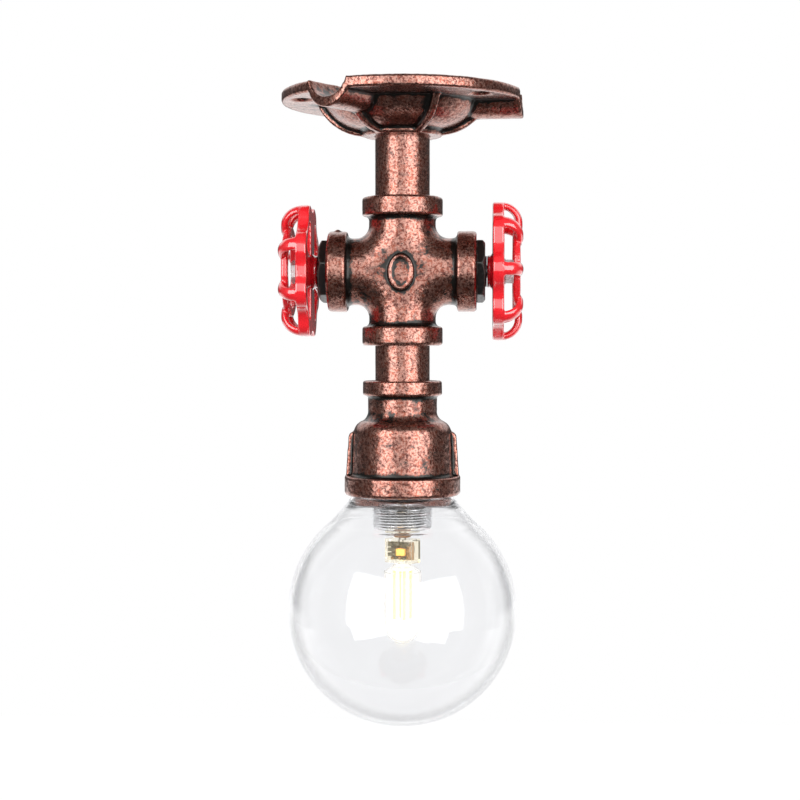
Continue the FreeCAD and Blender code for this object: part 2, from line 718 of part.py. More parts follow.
def oval_slab(name, wide, tall, back, front):
    """An oval prism on the front of the cross, from y = -back to y = -front."""
    rim = doc.addObject("Part::Ellipse", name + "_rim")
    bind(rim, "MajorRadius", tall / 2)
    bind(rim, "MinorRadius", wide / 2)
    upright = FreeCAD.Rotation(FreeCAD.Vector(1, 0, 0), 90) * FreeCAD.Rotation(FreeCAD.Vector(0, 0, 1), 90)
    rim.Placement = FreeCAD.Placement(FreeCAD.Vector(), upright)
    bind(rim, ".Placement.Base.y", -back)
    bind(rim, ".Placement.Base.z", -s.boss_drop)
    slab = doc.addObject("Part::Extrusion", name)
    slab.Base = rim
    slab.DirMode = "Custom"
    slab.Dir = FreeCAD.Vector(0, -1, 0)
    slab.Solid = True
    bind(slab, "LengthFwd", front - back)
    return slab


def make_cross():
    upright = cross_run("cross_run_upright")
    level = cross_run("cross_run_level")
    level.Placement = FreeCAD.Placement(FreeCAD.Vector(), FreeCAD.Rotation(FreeCAD.Vector(0, 1, 0), 90))
    pieces = [upright, level]
    bend = s.arm_radius + s.crotch_round
    lying = FreeCAD.Rotation(FreeCAD.Vector(1, 0, 0), 90)
    for x_side, z_side, turn in ((-1, -1, 0), (-1, 1, 90), (1, 1, 180), (1, -1, 270)):
        crotch = doc.addObject("Part::Torus", f"crotch_{turn}")
        bind(crotch, "Radius1", bend)
        bind(crotch, "Radius2", s.arm_radius)
        crotch.Angle3 = 90
        spin = FreeCAD.Rotation(FreeCAD.Vector(0, 1, 0), turn)
        crotch.Placement = FreeCAD.Placement(FreeCAD.Vector(), spin * lying)
        bind(crotch, ".Placement.Base.x", bend * x_side)
        bind(crotch, ".Placement.Base.z", bend * z_side)
        pieces.append(crotch)
    boss_front = s.arm_radius + s.boss_proud
    pieces.append(oval_slab("boss", s.boss_wide, s.boss_tall, s.cross_bore, boss_front))
    nub = doc.addObject("Part::Sphere", "nub")
    bind(nub, "Radius", s.nub_radius)
    bind(nub, ".Placement.Base.x", -(s.cross_half - s.band_wide / 2))
    bind(nub, ".Placement.Base.y", -s.nub_radius)
    bind(nub, ".Placement.Base.z", s.band_radius - s.nub_radius / 2)
    pieces.append(nub)
    solid = doc.addObject("Part::MultiFuse", "cross_casting")
    solid.Shapes = pieces

    tools = [oval_slab(
        "boss_field", s.boss_wide - 2 * s.boss_lip, s.boss_tall - 2 * s.boss_lip,
        boss_front - s.boss_sink, boss_front + s.overcut)]
    for axis, turn in (("upright", 0), ("level", 90)):
        passage = cylinder(f"passage_{axis}", s.cross_bore, 2 * (s.cross_half + s.overcut))
        spin = FreeCAD.Rotation(FreeCAD.Vector(0, 1, 0), turn)
        passage.Placement = FreeCAD.Placement(FreeCAD.Vector(), spin)
        bind(passage, ".Placement.Base." + ("x" if turn else "z"), -(s.cross_half + s.overcut))
        tools.append(passage)
        for side in (1, -1):
            reach = s.thread_reach + s.overlap
            thread = cylinder(f"thread_{axis}_{side + 1}", female_radius, reach + s.overcut)
            thread.Placement = FreeCAD.Placement(FreeCAD.Vector(), spin)
            start = s.cross_half - reach if side > 0 else -(s.cross_half + s.overcut)
            bind(thread, ".Placement.Base." + ("x" if turn else "z"), start)
            tools.append(thread)
    cuts = doc.addObject("Part::MultiFuse", "cross_passages")
    cuts.Shapes = tools
    cross = doc.addObject("Part::Cut", "cross_fitting")
    cross.Base = solid
    cross.Tool = cuts
    lower(cross, cross_level)
    keep(cross, "cross_fitting")


def make_plug(name, side):
    """Hexagon plug, bored for the wheel's bolt; drawn along Z, from the centre outwards."""
    body = new_body(name)
    face = s.cross_half
    sketch = new_sketch(body, "hexagon", "XY", lift=face, turn=side * (30 - s.plug_tilt))
    hexagon(sketch, s.plug_flats)
    pad(body, "head", sketch, s.plug_head)
    hex_crown(body, "crown", s.plug_flats, face + s.plug_head)
    turned(body, "thread", [
        (0, face - s.plug_thread),
        (s.pipe_radius - s.pipe_bevel, face - s.plug_thread),
        (s.pipe_radius, face - s.plug_thread + s.pipe_bevel),
        (s.pipe_radius, face + s.overlap),
        (0, face + s.overlap),
    ])
    bore = new_sketch(body, "bore_outline", "XY", lift=nut_face - s.overcut)
    circle(bore, 0, 0, s.bolt_radius)
    pocket(body, "bore", bore, plug_face - nut_face + 2 * s.overcut, back=True)
    sideways(body, side)
    keep(body, name)


def make_wheel_bolt(name, side):
    body = new_body(name)
    sketch = new_sketch(body, "hexagon", "XY", lift=bolt_seat)
    hexagon(sketch, s.bolt_flats)
    pad(body, "head", sketch, s.bolt_head)
    hex_crown(body, "crown", s.bolt_flats, bolt_seat + s.bolt_head)
    end = nut_face - s.lock_nut_thick - s.bolt_end
    turned(body, "shank", [
        (0, end),
        (s.bolt_radius - s.edge_break, end),
        (s.bolt_radius, end + s.edge_break),
        (s.bolt_radius, bolt_seat + s.overlap),
        (0, bolt_seat + s.overlap),
    ])
    sideways(body, side)
    keep(body, name)


def make_ring(name, side, inner, outer, start, thick):
    """A flat washer on the wheel's axis."""
    body = new_body(name)
    turned(body, "ring", [(inner, start), (outer, start), (outer, start + thick), (inner, start + thick)])
    sideways(body, side)
    keep(body, name)


def make_lock_nut(name, side):
    body = new_body(name)
    start = nut_face - s.lock_nut_thick
    sketch = new_sketch(body, "hexagon", "XY", lift=start)
    hexagon(sketch, s.bolt_flats)
    pad(body, "nut", sketch, s.lock_nut_thick)
    hex_crown(body, "crown", s.bolt_flats, start, upward=False)
    bore = new_sketch(body, "bore_outline", "XY", lift=start - s.overcut)
    circle(bore, 0, 0, s.bolt_radius)
    pocket(body, "bore", bore, s.lock_nut_thick + 2 * s.overcut, back=True)
    sideways(body, side)
    keep(body, name)


def scalloped(sketch, radius, deep, hollow, count):
    """A round of lobes that reach a radius, with smooth valleys of a depth and radius between."""
    half = 180 / as_size(count)
    valley_centre = radius - deep + hollow
    reach = radius + hollow
    span = reach - valley_centre * cosine(half)
    lobe_centre = (reach * reach - valley_centre * valley_centre) / (2 * span)
    crest = radius - lobe_centre
    share = crest / (crest + hollow)
    along = lobe_centre + (valley_centre * cosine(half) - lobe_centre) * share
    beside = valley_centre * sine(half) * share
    corners = []
    for index in range(int(count.value)):
        turn = 2 * half * index
        for way, bend in ((-1, crest), (1, -hollow)):
            across = beside * way
            x = along * cosine(turn) - across * sine(turn)
            y = along * sine(turn) + across * cosine(turn)
            corners.append((x, y, bend))
    outline(sketch, corners)


def end_faces(feature):
    """Names of the flat faces at both ends of a pad along Z."""
    doc.recompute()
    faces = enumerate(feature.Shape.Faces, start=1)
    return [f"Face{number}" for number, face in faces if abs(face.normalAt(0, 0).z) > 0.999]


def make_handwheel(name, side, phase):
    """Tap wheel: lobed skirt, web with petals, hub, finger ribs and a front ring."""
    body = new_body(name)
    back = wheel_back
    skirt_front = back + s.skirt_wide
    skirt_inner = s.wheel_radius - s.valley_deep - s.skirt_wall
    lobes = new_sketch(body, "skirt_outline", "XY", lift=back)
    scalloped(lobes, s.wheel_radius, s.valley_deep, s.valley_radius, s.lobes)
    skirt = pad(body, "skirt", lobes, s.skirt_wide)
    rounded = body.newObject("PartDesign::Fillet", "skirt_edges")
    rounded.Base = (skirt, end_faces(skirt))
    bind(rounded, "Radius", s.skirt_round)
    inside = new_sketch(body, "skirt_inside", "XY", lift=skirt_front + s.overcut)
    circle(inside, 0, 0, skirt_inner)
    pocket(body, "recess", inside, s.skirt_wide - s.spoke_thick + s.overcut)
    hub_back = plug_face + s.spacer_thick + s.hub_stub_gap
    turned(body, "hub", [
        (0, hub_back),
        (s.hub_stub_radius, hub_back),
        (s.hub_stub_radius, back - s.hub_fillet, -s.hub_fillet),
        (s.hub_stub_radius + s.hub_fillet, back),
        (s.hub_stub_radius + s.hub_fillet, back + s.overlap),
        (s.hub_stub_radius + s.casting_round, back + s.spoke_thick),
        (s.hub_stub_radius, hub_front - s.edge_break),
        (s.hub_stub_radius - s.edge_break, hub_front),
        (0, hub_front),
    ])

    petal_outer = skirt_inner - s.petal_wall
    between_spokes = 180 / s.lobes + 180 / s.spokes
    petal = new_sketch(body, "petal_outline", "XY", lift=back - s.overcut, turn=between_spokes)
    outline(petal, [
        (s.petal_inner, -s.petal_tip),
        (petal_outer - s.petal_round, -s.petal_half, s.petal_round),
        (petal_outer, -(s.petal_half - s.petal_round)),
        (petal_outer, s.petal_half - s.petal_round, s.petal_round),
        (petal_outer - s.petal_round, s.petal_half),
        (s.petal_inner, s.petal_tip, s.petal_tip_round),
    ])
    hole = pocket(body, "petal", petal, s.spoke_thick + 2 * s.overcut, back=True)
    round_about(body, "petals", [hole], s.spokes)

    start_reach = s.wheel_radius - s.finger_thick / 2
    bend_start = skirt_front - s.finger_sink
    root = bend_start - s.edge_break
    top = bend_start + s.finger_bend
    turn_reach = start_reach - s.finger_bend
    path = new_sketch(body, "finger_path", "XZ")
    outline(path, [
        (start_reach, root),
        (start_reach, bend_start, s.finger_bend),
        (turn_reach, top),
        (turn_reach - s.finger_flat, top, s.finger_tip_bend),
        (turn_reach - s.finger_flat - s.finger_tip_bend, top - s.finger_tip_bend),
    ], closed=False)
    section = new_sketch(body, "finger_section", "XY", lift=root)
    oval(section, start_reach, as_size(0), s.finger_thick, s.finger_wide, s.finger_round)
    finger = body.newObject("PartDesign::AdditivePipe", "finger")
    finger.Profile = section
    finger.Spine = (path, ["Edge1", "Edge2", "Edge3", "Edge4"])
    round_about(body, "fingers", [finger], s.lobes)

    ring_front = top + s.finger_thick / 2 - s.ring_recess
    ring_back = ring_front - s.ring_thick
    turned(body, "front_ring", [
        (s.ring_inner, ring_back + s.edge_break),
        (s.ring_inner + s.edge_break, ring_back),
        (s.ring_outer - s.edge_break, ring_back),
        (s.ring_outer, ring_back + s.edge_break),
        (s.ring_outer, ring_front - s.edge_break),
        (s.ring_outer - s.edge_break, ring_front),
        (s.ring_inner + s.edge_break, ring_front),
        (s.ring_inner, ring_front - s.edge_break),
    ])
    bore = new_sketch(body, "bore_outline", "XY", lift=hub_back - s.overcut)
    circle(bore, 0, 0, s.bolt_radius + s.bolt_fit)
    pocket(body, "bore", bore, hub_front - hub_back + 2 * s.overcut, back=True)
    sideways(body, side, phase)
    keep(body, name)


def make_socket():
    """Bell-shaped reducing socket, drawn from its top face downwards."""
    body = new_body("reducing_socket")
    foot_top = s.socket_long - s.foot_tall
    foot_neck = s.body_radius + s.body_flare
    neck_start = s.collar_tall + s.socket_cove
    chamber_end = s.socket_long - s.seat_deep
    stop = s.thread_reach + s.overlap
    turned(body, "bell", [
        (female_radius, 0),
        (s.collar_radius - s.collar_round, 0, -s.collar_round),
        (s.collar_radius, -s.collar_round),
        (s.collar_radius, -(s.collar_tall - s.casting_round), -s.casting_round),
        (s.collar_radius - s.casting_round, -s.collar_tall),
        (s.neck_radius + s.socket_cove, -s.collar_tall, s.socket_cove),
        (s.neck_radius, -neck_start),
        (s.neck_radius, -s.neck_end, s.shoulder_hollow),
        (s.shoulder_mid_radius, -s.shoulder_mid, -s.shoulder_bulge),
        (s.body_radius, -s.shoulder_end),
        (foot_neck, -(foot_top - s.socket_cove), s.socket_cove),
        (foot_neck + s.socket_cove, -foot_top),
        (s.foot_radius - s.casting_round, -foot_top, -s.casting_round),
        (s.foot_radius, -(foot_top + s.casting_round)),
        (s.foot_radius, -(s.socket_long - s.foot_round), -s.foot_round),
        (s.foot_radius - s.foot_round, -s.socket_long),
        (s.seat_radius, -s.socket_long),
        (s.seat_radius, -chamber_end),
        (s.chamber_radius, -(chamber_end - s.overcut)),
        (s.chamber_radius, -s.chamber_start),
        (s.pipe_bore + s.stop_ledge, -(stop + s.stop_tall)),
        (s.pipe_bore + s.stop_ledge, -stop),
        (female_radius, -stop),
    ], turn=90)
    edge = new_sketch(body, "side_web_outline", "XZ")
    inner = (s.chamber_radius + s.body_radius) / 2
    outline(edge, [
        (inner, -s.side_web_start),
        (s.side_web_top - s.side_web_round, -s.side_web_start, -s.side_web_round),
        (s.side_web_top, -(s.side_web_start + s.side_web_round)),
        (s.foot_radius - s.overlap, -(foot_top + s.overlap)),
        (inner, -(foot_top + s.overlap)),
    ])
    web = pad(body, "side_web", edge, s.side_web_thick, both=True)
    round_about(body, "side_webs", [web], 2)
    lower(body, socket_top)
    keep(body, "reducing_socket")


def make_adapter():
    body = new_body("adapter_plug")
    turned(body, "plug", [
        (s.stem_radius, 0),
        (s.seat_radius - s.pipe_bevel, 0),
        (s.seat_radius, -s.pipe_bevel),
        (s.seat_radius, -s.adapter_thick),
        (s.stem_radius, -s.adapter_thick),
    ])
    lower(body, adapter_top)
    keep(body, "adapter_plug")


def make_hex_nut(name, top, flats, thick, bore_radius):
    """A nut on the upright stem, drawn from its top downwards."""
    body = new_body(name)
    sketch = new_sketch(body, "hexagon", "XY", lift=-thick)
    hexagon(sketch, flats)
    pad(body, "nut", sketch, thick)
    hex_crown(body, "crown", flats, as_size(0))
    bore = new_sketch(body, "bore_outline", "XY", lift=-(thick + s.overcut))
    circle(bore, 0, 0, bore_radius)
    pocket(body, "bore", bore, thick + 2 * s.overcut, back=True)
    lower(body, top)
    keep(body, name)


def make_stem():
    washer_top = adapter_top - s.stem_washer_thick
    nut_top = washer_top - s.stem_nut_thick
    stem_top = adapter_top - s.stem_up
    body = new_body("hollow_stem")
    long = stem_end - stem_top
    turned(body, "tube", [
        (s.stem_bore, 0),
        (s.stem_radius - s.edge_break, 0),
        (s.stem_radius, -s.edge_break),
        (s.stem_radius, -(long - s.edge_break)),
        (s.stem_radius - s.edge_break, -long),
        (s.stem_bore, -long),
    ])
    lower(body, stem_top)
    keep(body, "hollow_stem")
    washer = new_body("stem_washer")
    turned(washer, "ring", [
        (s.stem_radius, 0),
        (s.stem_washer_radius, 0),
        (s.stem_washer_radius, -s.stem_washer_thick),
        (s.stem_radius, -s.stem_washer_thick),
    ])
    lower(washer, washer_top)
    keep(washer, "stem_washer")
    make_hex_nut("stem_nut", nut_top, s.stem_nut_flats, s.stem_nut_thick, s.stem_radius)
    inner_flats = (s.sleeve_bore - s.nut_clear) * 2 / HEX_CORNER
    make_hex_nut("sleeve_nut", adapter_bottom + s.sleeve_top, inner_flats, s.stem_nut_thick, s.stem_radius)


def make_sleeve():
    """Threaded sleeve of the holder, its thread drawn as rings of one pitch."""
    body = new_body("holder_sleeve")
    corners = [
        (s.stem_radius, 0),
        (s.sleeve_core, 0),
    ]
    threaded = s.sleeve_long - s.sleeve_plain
    turns = int((threaded - s.edge_break).value / s.sleeve_pitch.value)
    start = threaded - s.sleeve_pitch * turns
    for index in range(turns):
        root = start + s.sleeve_pitch * index
        corners.append((s.sleeve_core, -root))
        corners.append((s.sleeve_radius, -(root + s.sleeve_pitch * 0.4)))
        corners.append((s.sleeve_radius, -(root + s.sleeve_pitch * 0.6)))
    corners += [
        (s.sleeve_core, -(start + s.sleeve_pitch * turns)),
        (s.sleeve_core, -(s.sleeve_long - s.sleeve_lip), -s.sleeve_lip),
        (s.sleeve_core - s.sleeve_lip, -s.sleeve_long),
        (s.sleeve_bore, -s.sleeve_long),
        (s.sleeve_bore, -s.sleeve_top),
        (s.stem_radius, -s.sleeve_top),
    ]
    turned(body, "sleeve", corners)
    lower(body, adapter_bottom)
    keep(body, "holder_sleeve")


def turn_with_lamp(thing):
    """Turns a piece about the upright axis to the lamp's angle."""
    turn = FreeCAD.Rotation(FreeCAD.Vector(0, 0, 1), s.lamp_turn.value)
    thing.Placement = FreeCAD.Placement(FreeCAD.Vector(), turn)
    bind(thing, ".Placement.Rotation.Angle", s.lamp_turn)


def make_core():
    body = new_body("holder_core")
    long = sleeve_end - core_top
    outer = s.sleeve_bore - s.core_gap
    turned(body, "core", [
        (0, 0),
        (outer - s.edge_break, 0),
        (outer, -s.edge_break),
        (outer, -(long - s.core_bevel)),
        (outer - s.core_bevel, -long),
        (s.nose_radius, -long),
        (s.nose_tip, -(long + s.nose_tall)),
        (0, -(long + s.nose_tall)),
    ])
    for side in (1, -1):
        hole = new_sketch(body, f"pin_hole_outline_{side + 1}", "XY", lift=s.overcut)
        circle(hole, 0, s.pin_spacing / 2 * side, s.pin_slot)
        pocket(body, f"pin_hole_{side + 1}", hole, long + s.nose_tall + 2 * s.overcut)
    turn_with_lamp(body)
    lower(body, core_top)
    keep(body, "holder_core")


def around_pins(name, outer, inner, top, long):
    """Two equal tubes or rods on the lines of the lamp pins, in one node."""
    body = new_body(name)
    sketch = new_sketch(body, "section", "XY")
    for side in (1, -1):
        circle(sketch, 0, s.pin_spacing / 2 * side, outer)
        if inner is not None:
            circle(sketch, 0, s.pin_spacing / 2 * side, inner)
    pad(body, "pair", sketch, long, back=True)
    turn_with_lamp(body)
    lower(body, top)
    return keep(body, name)


def make_two(name, make_one):
    """A node of two separate solids, one for each side."""
    pieces = [make_one(side) for side in (1, -1)]
    both = doc.addObject("Part::Compound", name)
    both.Links = pieces
    return keep(both, name)


def make_lead(name, side):
    """A lead down the pipes: a tail in the recess, a bend and a straight run."""
    body = new_body(name)
    x = s.lead_spread * side
    over = x + s.lead_bend * side
    path = new_sketch(body, "route", "XZ")
    outline(path, [
        (x, -core_top),
        (x, -(s.lead_depth + s.lead_bend), -s.lead_bend * side),
        (over, -s.lead_depth),
        (over + s.lead_tail * side, -s.lead_depth),
    ], closed=False)
    section = new_sketch(body, "section", "XY", lift=-core_top)
    circle(section, x, 0, s.lead_radius)
    lead = body.newObject("PartDesign::AdditivePipe", "lead")
    lead.Profile = section
    lead.Spine = (path, ["Edge1", "Edge2", "Edge3"])
    keep(body, name)


def make_ferrule(side):
    body = new_body(f"ferrule_{side + 1}")
    end = s.lead_spread + s.lead_bend + s.lead_tail
    turned(body, "ferrule", [
        (0, 0),
        (s.ferrule_radius, 0),
        (s.ferrule_radius, s.ferrule_collar),
        (s.ferrule_pin, s.ferrule_collar + s.edge_break),
        (s.ferrule_pin, s.ferrule_long),
        (0, s.ferrule_long),
    ])
    body.Placement = FreeCAD.Placement(
        FreeCAD.Vector(), FreeCAD.Rotation(FreeCAD.Vector(0, 1, 0), 90 * side))
    bind(body, ".Placement.Base.x", end * side)
    bind(body, ".Placement.Base.z", -s.lead_depth)
    return body


# Chips on the lamp's board: place and size as shares of the board's width and height,
# and thickness as a share of the board's own
CHIPS = [
    (-0.30, 0.28, 0.24, 0.30, 2.5),
    (0.05, 0.30, 0.20, 0.24, 2.1),
    (0.32, 0.26, 0.16, 0.20, 1.7),
    (-0.28, -0.12, 0.26, 0.20, 2.2),
    (-0.27, -0.36, 0.24, 0.16, 1.9),
    (0.16, -0.14, 0.24, 0.34, 2.4),
]


def make_lamp():
    pin_top = nose_end - s.pin_grip
    around_pins("lamp_pins", s.pin_radius, None, pin_top, base_top + s.base_wall - pin_top)
    contact_inner = s.pin_radius + s.contact_fit
    contact_outer = contact_inner + s.contact_wall
    around_pins("holder_contacts", contact_outer, contact_inner, contact_top, s.contact_long)

    base = new_body("lamp_base")
    shell = new_sketch(base, "shell_outline", "XY")
    rounded_box(shell, as_size(0), as_size(0), s.base_wide, s.base_deep, s.base_round)
    pad(base, "shell", shell, s.base_tall, back=True)
    hollow = new_sketch(base, "hollow_outline", "XY", lift=-s.base_wall)
    rounded_box(
        hollow, as_size(0), as_size(0), s.base_wide - 2 * s.base_wall, s.base_deep - 2 * s.base_wall,
        s.base_round / 2)
    pocket(base, "hollow", hollow, s.base_tall - 2 * s.base_wall)
    for side in (1, -1):
        hole = new_sketch(base, f"pin_hole_outline_{side + 1}", "XY", lift=s.overcut)
        circle(hole, 0, s.pin_spacing / 2 * side, s.pin_radius)
        pocket(base, f"pin_hole_{side + 1}", hole, s.base_wall + s.overcut)
    throat = new_sketch(base, "throat_outline", "XY", lift=-(s.base_tall + s.overcut))
    circle(throat, 0, 0, s.capsule_neck - s.base_wall)
    pocket(base, "throat", throat, s.base_wall + s.overcut, back=True)
    turn_with_lamp(base)
    lower(base, base_top)
    keep(base, "lamp_base")

    circuit = new_body("lamp_circuit")
    board = new_sketch(circuit, "board_outline", "XZ")
    middle = -s.base_tall / 2
    rounded_box(board, as_size(0), middle, s.board_wide, s.board_tall, s.board_thick / 2)
    pad(circuit, "board", board, s.board_thick, both=True)
    for index, (x, z, wide, tall, thick) in enumerate(CHIPS):
        chip = new_sketch(circuit, f"chip_outline_{index}", "XZ")
        chip_wide = s.board_wide * wide
        chip_tall = s.board_tall * tall
        centre = middle + s.board_tall * z
        rounded_box(chip, s.board_wide * x, centre, chip_wide, chip_tall, s.board_thick / 4)
        pad(circuit, f"chip_{index}", chip, s.board_thick * (0.5 + thick))
    turn_with_lamp(circuit)
    lower(circuit, base_top)
    keep(circuit, "lamp_circuit")

    capsule = new_body("lamp_capsule")
    outer = s.capsule_radius
    wall = s.capsule_wall
    long = s.capsule_long
    flare_end = s.capsule_neck_long + s.capsule_flare
    turned(capsule, "capsule", [
        (s.capsule_neck - wall, 0),
        (s.capsule_neck, 0),
        (s.capsule_neck, -s.capsule_neck_long),
        (outer, -flare_end),
        (outer, -(long - outer), -outer),
        (0, -long),
        (0, -(long - wall), outer - wall),
        (outer - wall, -(long - outer)),
        (outer - wall, -(flare_end + wall / 2)),
        (s.capsule_neck - wall, -(s.capsule_neck_long + wall / 2)),
    ])
    lower(capsule, base_bottom)
    keep(capsule, "lamp_capsule")

    sticks = new_body("lamp_filaments")
    lean = new_sketch(sticks, "stick_section", "XY", lift=-s.stem_foot)
    for index in range(int(s.filaments.value)):
        angle = 360 * (index + 0.5) / s.filaments
        circle(lean, s.filament_spread * cosine(angle), s.filament_spread * sine(angle), s.filament_radius)
    pad(sticks, "sticks", lean, s.filament_long, back=True)
    turn_with_lamp(sticks)
    lower(sticks, base_bottom)
    keep(sticks, "lamp_filaments")

    mount = new_body("lamp_stem")
    disc = s.filament_spread + s.filament_radius
    low = s.stem_foot + s.filament_long
    turned(mount, "rod", [
        (0, s.base_wall),
        (s.stem_rod, s.base_wall),
        (s.stem_rod, -(s.stem_foot - s.stem_disc)),
        (disc, -(s.stem_foot - s.stem_disc)),
        (disc, -s.stem_foot),
        (s.stem_rod, -s.stem_foot),
        (s.stem_rod, -low),
        (disc, -low),
        (disc, -(low + s.stem_disc)),
        (0, -(low + s.stem_disc)),
    ])
    lower(mount, base_bottom)
    keep(mount, "lamp_stem")


def make_globe():
    """Thin glass globe with a flat shoulder and a screw collar that reaches inwards."""
    body = new_body("globe")
    wall = s.globe_wall
    radius = s.globe_radius
    inner = radius - wall
    centre = globe_centre - globe_top
    join_drop = centre - square_root(radius * radius - s.shoulder_join * s.shoulder_join)
    inner_join = s.shoulder_join - wall * 0.62
    inner_join_drop = centre - square_root(inner * inner - inner_join * inner_join)
    bore = s.sleeve_radius + s.screw_collar_gap
    lip = s.screw_collar_round
    turned(body, "glass", [
        (bore, 0),
        (s.shoulder_flat, 0, -s.shoulder_round),
        (s.shoulder_radius, -s.shoulder_drop),
        (s.shoulder_join, -join_drop, -radius),
        (radius, -centre, -radius),
        (0, -(centre + radius)),
        (0, -(centre + inner), inner),
        (inner, -centre, inner),
        (inner_join, -inner_join_drop),
        (s.shoulder_radius - wall, -(s.shoulder_drop + wall * 0.6), s.shoulder_round),
        (s.shoulder_flat - wall * 0.5, -wall),
        (s.screw_collar_radius + lip, -wall, lip),
        (s.screw_collar_radius, -(wall + lip)),
        (s.screw_collar_radius, -(s.screw_collar_deep - lip), -lip),
        (s.screw_collar_radius - lip, -s.screw_collar_deep),
        (bore, -s.screw_collar_deep),
    ])
    lower(body, globe_top)
    keep(body, "globe")


def make_gasket():
    body = new_body("globe_gasket")
    turned(body, "ring", [
        (s.gasket_inner, 0),
        (s.gasket_outer, 0),
        (s.gasket_outer, -s.gasket_thick),
        (s.gasket_inner, -s.gasket_thick),
    ])
    lower(body, adapter_bottom)
    keep(body, "globe_gasket")


make_flange()
make_earth_point()
make_nipple("upper_nipple", hub_face - s.thread_reach, cross_top + s.thread_reach)
make_cross()
make_nipple("lower_nipple", cross_bottom - s.thread_reach, socket_top + s.thread_reach)
for word, side, phase in (("left", -1, -180 / s.lobes.value), ("right", 1, 0)):
    make_plug(word + "_plug", side)
    make_wheel_bolt(word + "_wheel_bolt", side)
    make_ring(
        word + "_bolt_washer", side, s.bolt_radius, s.bolt_washer_radius,
        bolt_seat - s.bolt_washer_thick, s.bolt_washer_thick)
    make_ring(word + "_spacer", side, s.bolt_radius, s.spacer_radius, plug_face, s.spacer_thick)
    make_lock_nut(word + "_lock_nut", side)
    make_handwheel(word + "_handwheel", side, phase)
make_socket()
make_adapter()
make_stem()
make_sleeve()
make_core()
make_lamp()
make_lead("live_wire", 1)
make_lead("neutral_wire", -1)
make_two("wire_ferrules", make_ferrule)
make_globe()
make_gasket()

doc.recompute()
for thing in doc.Objects:
    if "Invalid" in thing.State or "Error" in thing.State:
        raise SystemExit(f"{thing.Name} failed: {thing.State}")
for node in NODES:
    if node.Shape.isNull() or not node.Shape.isValid():
        raise SystemExit(f"{node.Label} has no valid shape")
for node in NODES:
    node.Shape.exportStep(f"parts/{node.Label}.step")
    print(node.Label, len(node.Shape.Solids), round(node.Shape.Volume, 1))
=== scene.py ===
import itertools
import json
import math

import bmesh
import bpy
import numpy as np
from mathutils import Matrix, Vector


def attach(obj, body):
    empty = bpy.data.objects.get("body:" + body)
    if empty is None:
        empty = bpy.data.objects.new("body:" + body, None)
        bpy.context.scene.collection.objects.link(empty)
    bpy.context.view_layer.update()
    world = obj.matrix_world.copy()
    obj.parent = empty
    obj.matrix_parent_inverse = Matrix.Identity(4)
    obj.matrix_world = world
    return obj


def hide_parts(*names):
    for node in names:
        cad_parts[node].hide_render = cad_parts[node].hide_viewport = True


# Semi-flush ceiling light of cast pipe fittings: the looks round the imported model.
# Metres. The origin is the centre of the flange's ceiling face, +Z up, -Y is the front.

MM = 0.001
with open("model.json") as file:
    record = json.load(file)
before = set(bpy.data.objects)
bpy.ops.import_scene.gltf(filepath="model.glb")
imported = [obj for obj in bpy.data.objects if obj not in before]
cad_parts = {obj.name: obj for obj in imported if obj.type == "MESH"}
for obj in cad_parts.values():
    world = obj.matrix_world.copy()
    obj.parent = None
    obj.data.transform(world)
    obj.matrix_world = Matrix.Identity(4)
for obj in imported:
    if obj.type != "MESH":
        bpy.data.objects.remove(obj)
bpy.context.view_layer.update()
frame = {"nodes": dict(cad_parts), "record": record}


# View of the photograph

CAMERA_DISTANCE = 0.634
CAMERA_AZIMUTH = math.radians(2.9)
CAMERA_HEIGHT = -0.098
CAMERA_LENS = 72.8
SENSOR = 36.0
AIM_HEIGHT = -0.1196
AIM_LEFT = 0.00098


def beside(azimuth, elevation=0.0):
    """Unit vector from the light outwards, at an azimuth seen from the photograph's camera."""
    turn = CAMERA_AZIMUTH + azimuth
    flat = math.cos(elevation)
    return Vector((math.sin(turn) * flat, -math.cos(turn) * flat, math.sin(elevation)))


def make_camera():
    """The photograph's camera."""
    data = bpy.data.cameras.new("photo_camera")
    data.lens = CAMERA_LENS
    data.sensor_width = SENSOR
    camera = bpy.data.objects.new("photo_camera", data)
    bpy.context.scene.collection.objects.link(camera)
    eye = beside(0) * CAMERA_DISTANCE
    eye.z = CAMERA_HEIGHT
    right = beside(math.pi / 2)
    aim = Vector((0, 0, AIM_HEIGHT)) - right * AIM_LEFT
    camera.location = eye
    camera.rotation_euler = (aim - eye).to_track_quat("-Z", "Y").to_euler()
    bpy.context.scene.camera = camera


make_camera()


# Shader helpers

def new_material(name):
    """An empty material with one Principled shader; gives the material, its tree and the shader."""
    material = bpy.data.materials.new(name)
    material.use_nodes = True
    tree = material.node_tree
    tree.nodes.clear()
    shader = tree.nodes.new("ShaderNodeBsdfPrincipled")
    out = tree.nodes.new("ShaderNodeOutputMaterial")
    tree.links.new(shader.outputs["BSDF"], out.inputs["Surface"])
    return material, tree, shader


def feed(tree, socket, value):
    """Links a socket, or sets a number or colour, on an input."""
    if isinstance(value, bpy.types.NodeSocket):
        tree.links.new(value, socket)
    elif isinstance(value, tuple) and len(value) == 3 and socket.type == "RGBA":
        socket.default_value = (*value, 1)
    else:
        socket.default_value = value


def feed_all(tree, node, inputs):
    """Feeds a node's inputs, by name or number."""
    for name, value in inputs.items():
        feed(tree, node.inputs[name], value)


def put(tree, kind, inputs, **settings):
    """Adds a node with its settings and inputs."""
    node = tree.nodes.new(kind)
    for name, value in settings.items():
        setattr(node, name, value)
    feed_all(tree, node, inputs)
    return node


def own_place(tree):
    """Coordinates fixed to the piece, in metres."""
    return put(tree, "ShaderNodeTexCoord", {}).outputs["Object"]


